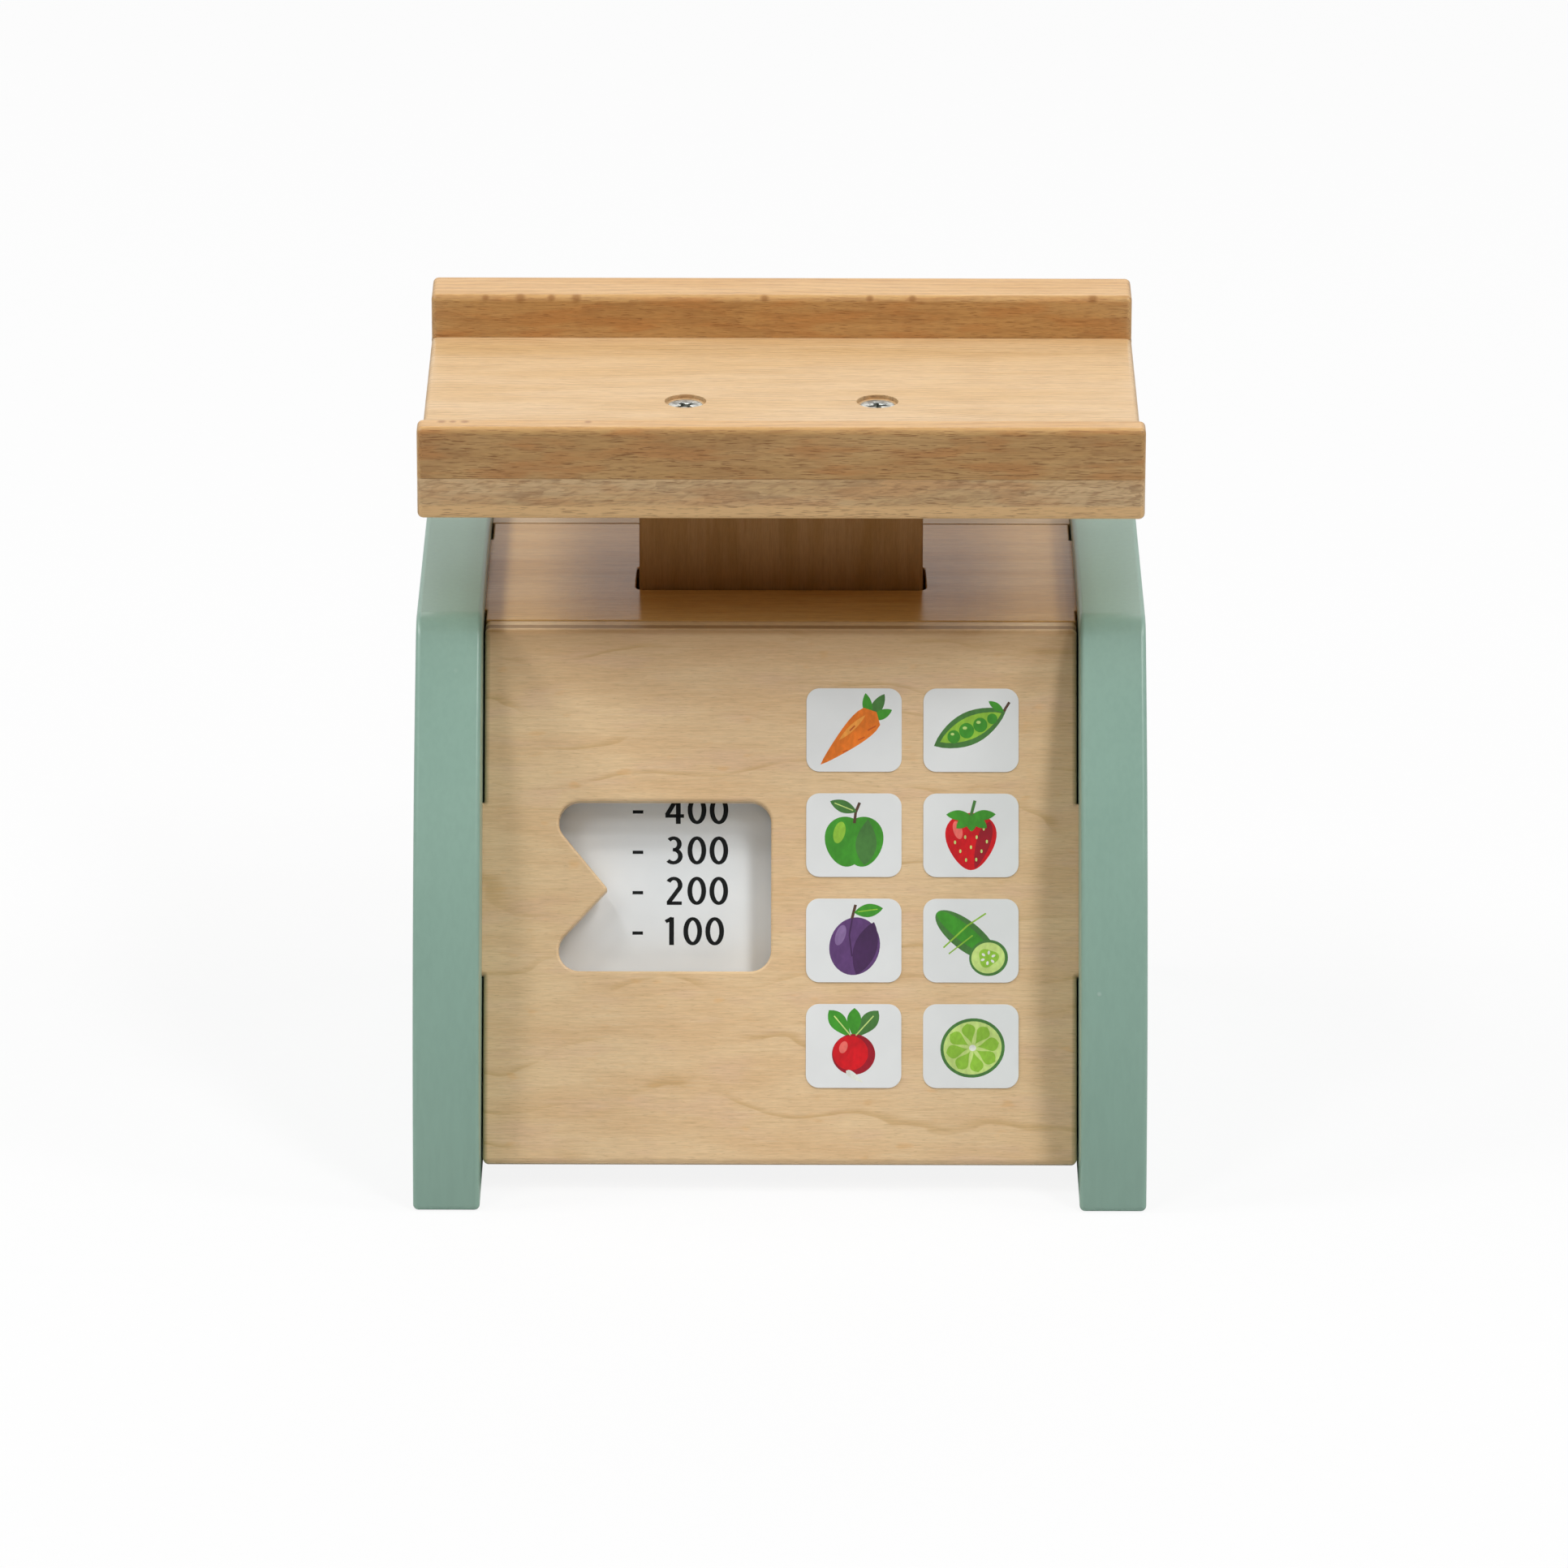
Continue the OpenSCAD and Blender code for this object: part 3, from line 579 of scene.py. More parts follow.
def rotary_birch(name):
    """Peeled birch veneer: wandering growth lines on the face, painted shade along its top edge under the
    tray, and three plies along the cut edges.
    """
    p = Paint(name)
    _, up, depth = p.parts(p.place)
    hill = p.noise((70, 34, 600), (3.1, 7.4, 0), 1.6)
    wave = p.noise((16, 6.5, 600), (1.3, 2.2, 0), 1.5)
    level = p.math("MULTIPLY_ADD", hill, 4.2, p.math("DIVIDE", up, LINE_STEP))
    level = p.math("MULTIPLY_ADD", wave, 0.32, level)
    ring = p.math("FRACT", p.times(level, 1.2))
    growth = p.times(p.band(ring, 0.0, 0.03), p.band(ring, 0.20, 0.03))
    shows = p.noise((24, 10, 600), (8.2, 0.4, 0), 1.5)
    growth = p.times(growth, p.band(shows, 0.40, 0.66))

    cloud = p.noise((40, 7, 600), (0.7, 5.1, 0), 3)
    blush = p.noise((20, 6, 600), (6.2, 3.3, 0), 2.5)
    streak = p.noise((11, 0.6, 50), detail=3)
    fibre = p.noise((3.2, 0.26, 20))
    glow = p.noise((7, 3, 600), (4.4, 1.9, 0), 1.5)
    face = p.mix(p.band(cloud, 0.32, 0.68), (0.79, 0.57, 0.33), (0.73, 0.495, 0.27))
    face = p.mix(p.band(blush, 0.5, 0.72, 0, 0.55), face, (0.74, 0.50, 0.32))
    face = p.mix(p.times(growth, 0.5), face, (0.52, 0.31, 0.11))
    face = p.mix(p.times(p.band(glow, 0.64, 0.78), 0.5), face, (0.74, 0.43, 0.18))
    face = p.mix(p.band(streak, 0.48, 0.74, 0, 0.24), face, (0.50, 0.32, 0.15))
    face = p.mix(p.band(streak, 0.50, 0.28, 0, 0.22), face, (0.84, 0.66, 0.42))
    pore = p.noise((2.2, 0.22, 50), (0.5, 0.2, 0), 1)
    pore = p.times(p.band(pore, 0.60, 0.74), 0.3)
    face = p.mix(pore, face, (0.40, 0.25, 0.12))
    face = p.shade(face, p.band(fibre, 0.25, 0.75, 0.93, 1.06))
    # Painted shade: the face darkens towards its top edge, where the tray above shades it
    painted_tray_shade = p.band(up, panel_top - TRAY_SHADE_REACH, panel_top - 1 * MM, 0, 0.42)
    face = p.mix(painted_tray_shade, face, (0.43, 0.25, 0.11))

    off_core = p.math("ABSOLUTE", p.math("ADD", depth, CORE_MIDDLE))
    # The pale outer plies are the ply's own light colour, made paler still as a painted highlight on the
    # rounded window edges
    edge = p.mix(p.band(off_core, CORE_HALF, 0.8 * MM), (0.82, 0.63, 0.39), (0.45, 0.29, 0.15))
    grit = p.noise((2, 1.2, 0.18))
    edge = p.shade(edge, p.spread(grit, 0.84, 1.08))
    off_edge = p.math("ABSOLUTE", p.math("ADD", depth, EDGE_MIDDLE))
    colour = p.mix(p.band(off_edge, EDGE_HALF, 2.0 * MM), face, edge)
    relief = p.math("SUBTRACT", p.math("MULTIPLY_ADD", fibre, 0.5, streak), pore)
    return p.finish(colour, 0.42, relief, VENEER_RELIEF, IOR=1.4)


def sage_paint(name):
    """Satin lacquer, sprayed: faint wood grain below it, small nibs and rubbed patches."""
    p = Paint(name)
    cloud = p.noise(50, detail=3)
    grain = p.noise((1.2, 30, 1.2), detail=3)
    peel = p.noise(1.1)
    cell, value = p.cells(13)
    nib = p.times(p.band(cell, 0.055, 0.02), p.band(value, 0.55, 0.6))
    colour = p.mix(p.spread(cloud), (0.234, 0.376, 0.305), (0.253, 0.397, 0.323))
    colour = p.shade(colour, p.spread(grain, 0.975, 1.02))
    colour = p.mix(p.times(nib, 0.5), colour, (0.40, 0.52, 0.46))
    relief = p.math("MULTIPLY_ADD", grain, 0.6, p.math("MULTIPLY_ADD", nib, 3.0, peel))
    return p.finish(colour, p.spread(cloud, 0.285, 0.35), relief, LACQUER_RELIEF, IOR=1.46)


def paper(name, colour, roughness, gloss=0.0):
    """Smooth paper or film, with a clear coat where it has gloss."""
    p = Paint(name)
    cloud = p.noise(12)
    shaded = p.shade(colour, p.spread(cloud, 0.975, 1.01))
    tooth = p.noise(0.3)
    return p.finish(shaded, roughness, tooth, PAPER_RELIEF, Coat_Weight=gloss, Coat_Roughness=0.2)


def ink(name, colour, ior=1.4):
    """Printed colour with the slight mottle and streaks of a flexible print."""
    p = Paint(name)
    mottle = p.noise((0.9, 1.4, 0.9), detail=3)
    drift = p.noise((5, 8, 5))
    amount = p.times(p.spread(mottle, 0.9, 1.08), p.spread(drift, 0.88, 1.12))
    return p.finish(p.shade(colour, amount), 0.5, IOR=ior)


def metal(name, colour, roughness, grain, low, high):
    """Plated steel with fine scratches, and blotches of painted reflection whose tones run from low to high.
    """
    p = Paint(name)
    scratch = p.noise(grain, detail=3)
    reflection_blotch = p.noise(1.1)
    # Painted reflection: bright and dark blotches in the base colour
    shaded = p.shade(colour, p.band(reflection_blotch, 0.36, 0.64, low, high))
    rough = p.spread(scratch, roughness, roughness + 0.14)
    return p.finish(shaded, rough, scratch, METAL_RELIEF, Metallic=1.0)


def felt_cloth(name):
    p = Paint(name)
    fuzz = p.noise(0.6, detail=4)
    colour = p.mix(p.spread(fuzz), (0.10, 0.11, 0.105), (0.19, 0.205, 0.19))
    return p.finish(colour, 0.95, fuzz, FELT_RELIEF, Sheen_Weight=0.3)


# Wood colours and the tray's pin knots: place along a lip and radius, in millimetres
BEECH = ((0.65, 0.395, 0.162), (0.595, 0.345, 0.13), (0.38, 0.185, 0.065))
BACK_KNOTS = ((-68.9, 1.3), (-60.8, 1.9), (-53.6, 1.4), (-47.8, 1.8), (-4, 1.5), (20.5, 1.3),
              (30.4, 1.4), (72.4, 1.7))
FRONT_KNOTS = ((-76, 1.5), (-73.5, 1.2), (-70.8, 1.5), (-43.2, 1.3))


def lip_knots(name, places, inward, below):
    """Knots of a lip, as solid_wood takes them, on a line inward from its front and below its top."""
    low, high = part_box(f"tray_lip_{name}")
    line_y, line_z = low.y + inward, high.z - below
    return [((along * MM, line_y, line_z), size * MM) for along, size in places]


tray_wood = solid_wood("beech_tray", (0.70, 0.485, 0.262), (0.65, 0.43, 0.21), (0.36, 0.21, 0.10),
                       rings=1.15, core=(-160, 145), smudge=0.5, figure=0.55, side_shade=0.95)
front_lip_wood = solid_wood("beech_lip_front", *BEECH, core=(-140, 170), rings=2.4,
                            shift=(4.2, 1.1, 0.3), side_shade=0.85, flecks=0.8, blush=0.8,
                            knots=lip_knots("front", FRONT_KNOTS, 4.5 * MM, 0))
back_lip_wood = solid_wood("beech_lip_back", *BEECH, core=(-80, 140), rings=2.1, shift=(9.7, 3.3, 5.2),
                           side_shade=1.0, knots=lip_knots("back", BACK_KNOTS, 0.4 * MM, 0.6 * MM))
post_wood = solid_wood("beech_post", (0.46, 0.26, 0.105), (0.39, 0.21, 0.07), (0.25, 0.12, 0.033),
                       order="zxy", core=(10, 200), rings=1.4, shift=(2.2, 6.1, 1.7), flecks=0.3,
                       figure=0.0, side_shade=1.0, roughness=0.5, ior=1.15)
deck_wood = solid_wood("birch_deck", (0.72, 0.46, 0.18), (0.65, 0.39, 0.135), (0.42, 0.22, 0.07),
                       core=(250, 50), rings=2.6, shift=(7.1, 2.9, 8.8), flecks=0.5, figure=0.12,
                       roughness=0.2, ior=1.35)
housing_wood = solid_wood("birch_housing", (0.66, 0.48, 0.28), (0.60, 0.42, 0.23), (0.42, 0.26, 0.13),
                          core=(20, -150), rings=3.4, shift=(5.5, 8.2, 3.1), flecks=0.2, figure=0.35,
                          blush=0.2)
rod_wood = solid_wood("beech_dowel", *BEECH, order="zxy")
pin_wood = solid_wood("beech_pin", *BEECH)
ply = rotary_birch("birch_plywood_face")
sage = sage_paint("sage_lacquer")
card_stock = paper("card_stock", (0.91, 0.945, 0.96), 0.6)
film = paper("sticker_film_white", (0.80, 0.815, 0.81), 0.4, 0.3)
black_ink = ink("ink_black", (0.008, 0.009, 0.009), 1.2)
zinc = metal("zinc_plate", (0.36, 0.37, 0.35), 0.28, (1.2, 1.2, 0.15), 0.65, 1.4)
steel = metal("spring_wire", (0.56, 0.57, 0.58), 0.28, 0.4, 0.9, 1.1)
felt = felt_cloth("felt_pad")


# Painted side panels, with the mortises and dowel holes of the joints
def side_outline():
    """Outline in [Y, Z]: straight foot and back, round upper corners and the curved front edge."""
    big, z = SIDE_CURVE_R, -SIDE_CURVE_DROP
    y = side_low.y + sqrt(big ** 2 - z ** 2)
    r, small = SIDE_CORNER_R, PAINT_EASE + MITRE_R
    corner_z, foot = side_high.z - r, side_low.z + small
    front_corner = y - sqrt((big - r) ** 2 - (corner_z - z) ** 2)
    front_foot = y - sqrt((big - small) ** 2 - (foot - z) ** 2)
    high_turn = 180 - degrees(asin((corner_z - z) / (big - r)))
    low_turn = 180 - degrees(asin((foot - z) / (big - small)))
    rear = arc(side_high.y - small, foot, small, -90, 0) + arc(side_high.y - r, corner_z, r, 0, 90)
    front = arc(front_corner, corner_z, r, 90, high_turn)[:-1] + arc(y, z, big, high_turn, low_turn)[:-1]
    return rear + front + arc(front_foot, foot, small, low_turn, 270)


def joint_pockets(side):
    """Mortises for the front panel's and the top panel's tongues, and the dowel holes, in [Y, Z]."""
    low, high = TONGUE_LOW - PLAY, TONGUE_HIGH + PLAY
    ends = ((low, PLAY), (low, -PANEL_T - PLAY), (high, -PANEL_T - PLAY), (high, PLAY))
    front = corners([from_slope(s, w) for s, w in ends], MORTISE_R)
    deck = box_outline(DECK_TONGUE_FRONT - PLAY, deck_low.z - PLAY, DECK_TONGUE_BACK + PLAY,
                       deck_high.z + PLAY, MORTISE_R)
    found = [(front, TONGUE_DEPTH + PLAY), (deck, TONGUE_DEPTH + PLAY)]
    for node in ("base_dowels", "back_dowels"):
        a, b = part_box(node)
        for y, z in ((a.y + DOWEL_R, a.z + DOWEL_R), (b.y - DOWEL_R, b.z - DOWEL_R)):
            found.append((circle(y, z, DOWEL_R + DOWEL_PLAY), DOWEL_DEPTH))
    return [(outline, side, [(0, depth)]) for outline, depth in found]


def make_side_panels():
    thick = side_high.x - side_low.x
    for name, low, inner in (("left", side_low.x, 1), ("right", -side_high.x, -1)):
        shell = plate(side_outline(), low, low + thick, PAINT_EASE, pockets=joint_pockets(inner))
        panel = shell.object(f"painted_side_{name}", [sage], ACROSS)
        dress(panel, "housing", "sage_paint", f"side_panel_{name}")


# Front panel with its window; the window's places are along X and up the slope
WINDOW_R = 4.8 * MM
WINDOW_LEFT, WINDOW_RIGHT = -45.4 * MM, -6.9 * MM
WINDOW_LOW, WINDOW_HIGH = 48.3 * MM, 77.3 * MM
POINTER_TIP = Vector((-39.0 * MM, 62.1 * MM))
POINTER_R = 0.75 * MM

# Half of a board's width without its tongues, and how near to a slanted end its points are moved
HALF_BOARD = -side_high.x - SEAM
SLANT_REACH = 2 * MM


def window_outline():
    """Two lobes, the pointer between them and two round corners; the limits are the rounds' centres."""
    r, left, right, low, high = WINDOW_R, WINDOW_LEFT, WINDOW_RIGHT, WINDOW_LOW, WINDOW_HIGH

    def tangent(v, turn):
        gap = Vector((left, v)) - POINTER_TIP
        return degrees(atan2(gap.y, gap.x) + turn * asin(r / gap.length))

    up, down = tangent(high, 1), tangent(low, -1) % 360
    middle = radians((up + down) / 2)
    back = POINTER_R / sin(radians((down - up) / 2))
    point = POINTER_TIP + back * Vector((cos(middle), sin(middle)))
    return (arc(right, low, r, -90, 0) + arc(right, high, r, 0, 90) + arc(left, high, r, 90, up + 90)
            + arc(point.x, point.y, POINTER_R, up - 90, down - 270) + arc(left, low, r, down - 90, 270))


def tongued(front, rear, low, high):
    """Right half of a board with a tongue from low to high."""
    full = deck_high.x
    return [(HALF_BOARD, front), (HALF_BOARD, low, SHOULDER_R), (full, low), (full, high),
            (HALF_BOARD, high, SHOULDER_R), (HALF_BOARD, rear)]


def make_front_panel():
    outline = corners(both_sides(tongued(0, panel_top, TONGUE_LOW, TONGUE_HIGH)), PANEL_EASE)
    shell = plate(outline, -PANEL_T, 0, PANEL_EASE, PANEL_BACK_EASE, window_outline())
    slope = tan(TILT)
    edge = panel_top - SLANT_REACH
    for point in shell.points:
        if point.y > edge:
            point.y -= point.z * slope
    for k, normal in zip((k for face in shell.faces for k in face), shell.normals):
        if shell.points[k].y > edge:
            normal.z += normal.y * slope
            normal.normalize()
    dress(shell.object("plywood_front", [ply], SLOPE), "housing", "birch_plywood", "front_panel")


# Top board and back board
SLOT_HALF_W = 33.2 * MM
SLOT_HALF_D = 7.9 * MM
SLOT_R = 1.7 * MM


def make_top_board():
    """Board with tongues in both side panels, a slot for the post and its front cut to the slope."""
    front = deck_low.y
    right = tongued(front, deck_high.y, DECK_TONGUE_FRONT, DECK_TONGUE_BACK)
    middle = screw_places()[0][1]
    slot = box_outline(-SLOT_HALF_W, middle - SLOT_HALF_D, SLOT_HALF_W, middle + SLOT_HALF_D, SLOT_R)
    shell = plate(corners(both_sides(right), BOARD_EASE), deck_low.z, deck_high.z, BOARD_EASE,
                  hole=slot, hole_ease=BOARD_EASE)
    for point in shell.points:
        if point.y < front + SLANT_REACH:
            point.y += (point.z - deck_low.z) * tan(TILT)
    dress(shell.object("slotted_top_board", [deck_wood]), "housing", "birch", "top_panel")


def make_back_board():
    """Board that reaches almost to the side panels, so that no light shows past its ends."""
    low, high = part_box("back_panel")
    points = [(low.y, low.z), (high.y, low.z), (high.y, high.z, BOARD_EASE), (low.y, high.z, BOARD_EASE)]
    reach = side_high.x + GLUE
    board = bar("back_board", points, reach, -reach, housing_wood, end_ease=SEAM_EASE)
    dress(board, "housing", "birch", "back_panel")


# Tray: board with recessed screws, and two lips. A bore's steps are (inset, depth)
SCREW_R = 4.1 * MM
RECESS_R = 4.7 * MM
RECESS_DEPTH = board_high.z - screw_high.z
BORE_STEPS = ((0, RECESS_DEPTH), (0.52 * MM, RECESS_DEPTH), (2.5 * MM, RECESS_DEPTH + 2 * MM),
              (2.5 * MM, 8.2 * MM))
RABBET = 0.5 * MM
LIP_ROUND = 1.6 * MM
TRAY_ROUND = 1.2 * MM


def screw_places():
    half = (screw_high.x - screw_low.x) / 2 - SCREW_R
    middle = (screw_high.y + screw_low.y) / 2
    return [(-half, middle), (half, middle)]


def make_tray():
    low, high = board_low, board_high
    rabbet = high.z - RABBET
    front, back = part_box("tray_lip_front")[1].y + GLUE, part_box("tray_lip_back")[0].y - GLUE
    seam = (SEAM_EASE, 1)
    points = [(low.y, low.z, TRAY_ROUND), (high.y, low.z, TRAY_ROUND), (high.y, rabbet),
              (back, rabbet, *seam), (back, high.z, *seam), (front, high.z), (front, rabbet, *seam),
              (low.y, rabbet, *seam)]
    recesses = [(circle(x, y, RECESS_R), high.z, 1, BORE_STEPS) for x, y in screw_places()]
    board = bar("tray_floor_board", points, low.x, high.x, tray_wood, recesses)
    dress(board, "tray", "beech", "tray_board")
    for name, wood in (("front", front_lip_wood), ("back", back_lip_wood)):
        a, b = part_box(f"tray_lip_{name}")
        points = [(a.y, a.z), (b.y, a.z, *seam), (b.y, b.z, LIP_ROUND), (a.y, b.z, LIP_ROUND)]
        lip = bar(f"tray_lip_{name}_rounded", points, a.x, b.x, wood)
        dress(lip, "tray", "beech", f"tray_lip_{name}")


# Screws: (radius, height above the tip) and (radius, depth below the top) of the turned form
HEAD_R = SCREW_R - 0.05 * MM
SCREW_TIP = ((0.2 * MM, 0), (1.35 * MM, 3 * MM))
SCREW_SHANK = ((1.35 * MM, 12 * MM), (2.0 * MM, 11 * MM), (2.0 * MM, 2.2 * MM), (HEAD_R, 0.22 * MM),
               (HEAD_R, 0.15 * MM), (HEAD_R - 0.15 * MM, 0))
CROSS_ARM, CROSS_WEB, CROSS_R = 2.25 * MM, 0.55 * MM, 0.45 * MM
CROSS_STEPS = ((0.1 * MM, 1.4 * MM), (0.4 * MM, 1.8 * MM))
SCREW_TURNS = {"left": 38, "right": 12}


def make_screws():
    top, bottom = screw_high.z, screw_low.z
    corner = [Vector((CROSS_ARM, CROSS_WEB)), Vector((CROSS_WEB, CROSS_WEB)), Vector((CROSS_WEB, CROSS_ARM))]
    cross = [Matrix.Rotation(radians(90 * k), 2) @ p for k in range(4) for p in corner]
    profile = [(r, bottom + z) for r, z in SCREW_TIP] + [(r, top - z) for r, z in SCREW_SHANK]
    for (x, y), (name, turn) in zip(screw_places(), SCREW_TURNS.items()):
        shell = Shell()
        rim = lathe(shell, profile)
        opening = pocket(shell, corners(cross, CROSS_R), top, 1, CROSS_STEPS)
        shell.cap([rim, opening], (0, 0, 1))
        spin = Matrix.Rotation(radians(turn), 4, "Z")
        screw = shell.object(f"screw_{name}", [zinc], Matrix.Translation((x, y, 0)) @ spin)
        dress(screw, "tray", "zinc_steel", *(["tray_screws"] if name == "left" else []))


# Number card behind the window; its limits and rows are distances up the slope
CARD_LOW, CARD_HIGH = 40.0 * MM, 107.55 * MM
CARD_R = 0.5 * MM
CARD_T = 0.5 * MM
CARD_DEPTH = 9 * MM
INK_T = 0.02 * MM
FIRST_ROW = 53.2 * MM
ROW_STEP = 9.2 * MM
ROWS = 6
DIGIT_PLACES = (-24.1 * MM, -19.0 * MM, -14.0 * MM)
ONE_SHIFT = -0.9 * MM
DASH_ENDS = (-33.6 * MM, -31.2 * MM)
DASH_RISE = -0.45 * MM
DASH_HALF = 0.37 * MM


def ribbon(shell, points, half, low, high, closed=False, slot=0):
    """Flat stroke along (u, v) points; half is its half width measured along u and along v."""
    sides = []
    for i, here in enumerate(points):
        before = points[i - 1] if closed or i else here
        after = points[(i + 1) % len(points)] if closed or i + 1 < len(points) else here
        run = Vector(after) - Vector(before)
        across = Vector((run.y, -run.x)).normalized()
        shift = Vector((across.x * half[0], across.y * half[1]))
        sides.append((tuple(Vector(here) + shift), tuple(Vector(here) - shift)))
    outer, inner = [s[0] for s in sides], [s[1] for s in sides]
    if closed:
        tops = [fence(shell, loop, low, high, slot)[1] for loop in (outer, inner[::-1])]
        shell.cap(tops, (0, 0, 1), slot)
    else:
        slab(shell, outer + inner[::-1], low, high, slot)


def oval(u, v, ru, rv, start=0, end=360, count=20):
    angles = [radians(start + (end - start) * k / count) for k in range(count + 1)]
    return [(u + ru * cos(a), v + rv * sin(a)) for a in angles]


# Strokes of the digits in millimetres: whether one closes, its centre line and its half widths
THICK, THIN = (0.54, 0.391), (0.48, 0.391)
DIGITS = {
    "0": [(True, oval(0, 0, 1.58, 2.82, count=28)[:-1], THICK)],
    "1": [(False, [(0.3, -3.15), (0.3, 3.15)], THICK), (False, [(0.45, 2.95), (-1.05, 2.15)], THIN)],
    "2": [(False, oval(-0.1, 1.3, 1.42, 1.5, 150, -28, 12) + [(-1.35, -2.75)], THICK),
          (False, [(-1.7, -2.82), (1.7, -2.82)], THIN)],
    "3": [(False, oval(-0.2, 1.45, 1.32, 1.36, 140, -90, 12), THICK),
          (False, oval(-0.25, -1.32, 1.6, 1.5, 95, -140, 14), THICK)],
    "4": [(False, [(0.75, 2.95), (-1.75, -1.15)], THICK), (False, [(-2.1, -1.35), (2.15, -1.35)], THIN),
          (False, [(0.85, -3.15), (0.85, 3.15)], THICK)],
    "5": [(False, [(-1.05, 2.82), (1.5, 2.82)], THIN), (False, [(-0.85, 2.9), (-1.1, 0.1)], THICK),
          (False, oval(-0.25, -1.0, 1.68, 1.82, 120, -140, 14), THICK)],
    "6": [(True, oval(0, -1.15, 1.55, 1.66, count=24)[:-1], THICK),
          (False, oval(1.1, -1.15, 2.65, 3.98, 92, 182, 10), THICK)],
}


def make_card():
    outline = box_outline(card_low.x, CARD_LOW, card_high.x, CARD_HIGH, CARD_R)
    card = plate(outline, -CARD_DEPTH - CARD_T, -CARD_DEPTH, CARD_EASE)
    dress(card.object("number_card", [card_stock], SLOPE), "tray", "card", "scale_card")
    prints = Shell()
    low, high = -CARD_DEPTH, -CARD_DEPTH + INK_T
    for hundreds in range(1, ROWS + 1):
        row = FIRST_ROW + (hundreds - 1) * ROW_STEP
        shift = ONE_SHIFT if hundreds == 1 else 0
        for digit, u in zip(f"{hundreds}00", DIGIT_PLACES):
            for closed, centre_line, half in DIGITS[digit]:
                points = [(u + shift + a * MM, row + b * MM) for a, b in centre_line]
                ribbon(prints, points, [h * MM for h in half], low, high, closed)
        ribbon(prints, [(u, row + DASH_RISE) for u in DASH_ENDS], (DASH_HALF, DASH_HALF), low, high)
    dress(prints.object("card_numbers", [black_ink], SLOPE), "tray", "card")


# Stickers: simple fruit and vegetable figures, in millimetres from the sticker's middle
LEAF_STEPS = 12
EGG_STEPS = 40


def leaf(u0, v0, u1, v1, bulge, lean=0.5):
    """Pointed oval between two points; bulge is its half width, and lean where it is widest."""
    run = Vector((u1 - u0, v1 - v0))
    across = Vector((run.y, -run.x)).normalized()
    edge = []
    for side, steps in ((1, range(LEAF_STEPS + 1)), (-1, range(LEAF_STEPS - 1, 0, -1))):
        for k in steps:
            t = k / LEAF_STEPS
            wide = bulge * sin(pi * t ** (log(0.5) / log(lean))) ** 0.8
            edge.append(tuple(Vector((u0, v0)) + run * t + across * wide * side))
    return edge


def egg(u, v, ru, rv, turn=0.0, taper=0.0, lobes=0, depth=0.0):
    """Egg shape, fuller at its top when taper is positive, with lobes waves of a depth round its edge."""
    c, s = cos(radians(turn)), sin(radians(turn))
    points = []
    for k in range(EGG_STEPS):
        a = 2 * pi * k / EGG_STEPS
        wave = 1 + depth * cos(lobes * a)
        p, q = ru * cos(a) * (1 + taper * sin(a)) * wave, rv * sin(a) * wave
        points.append((u + p * c - q * s, v + p * s + q * c))
    return points


def stroke(half, *points):
    """Line through points, with its half width."""
    return points, half


INKS = {
    "orange": (0.79, 0.19, 0.016), "amber": (0.90, 0.36, 0.06), "rust": (0.55, 0.095, 0.012),
    "red": (0.62, 0.004, 0.010), "wine": (0.30, 0.003, 0.014), "rose": (0.85, 0.16, 0.13),
    "plum": (0.105, 0.042, 0.155), "dusk": (0.045, 0.012, 0.065), "lilac": (0.23, 0.14, 0.31),
    "green": (0.045, 0.27, 0.018), "moss": (0.055, 0.175, 0.035), "lime": (0.27, 0.52, 0.045),
    "pale": (0.55, 0.72, 0.22), "bark": (0.075, 0.035, 0.018), "white": (0.78, 0.80, 0.72),
}
SEED_TURNS = (0.4, 1.45, 2.5, 3.5, 4.6, 5.6)
SEGMENT_TURNS = [radians(45 * k + 12) for k in range(8)]
PIPS = ((-3.6, -1.6), (-1.3, -0.4), (1.3, -0.4), (3.6, -1.4), (-2.4, -3.6), (0, -2.7), (2.4, -3.6),
        (-1.1, -5.6), (1.2, -5.5), (0, 1.4), (2.9, 1.5))
CROWN = ((-5.6, 4.7), (-3.3, 1.6), (0.2, 0.9), (3.6, 1.7), (5.6, 4.8))

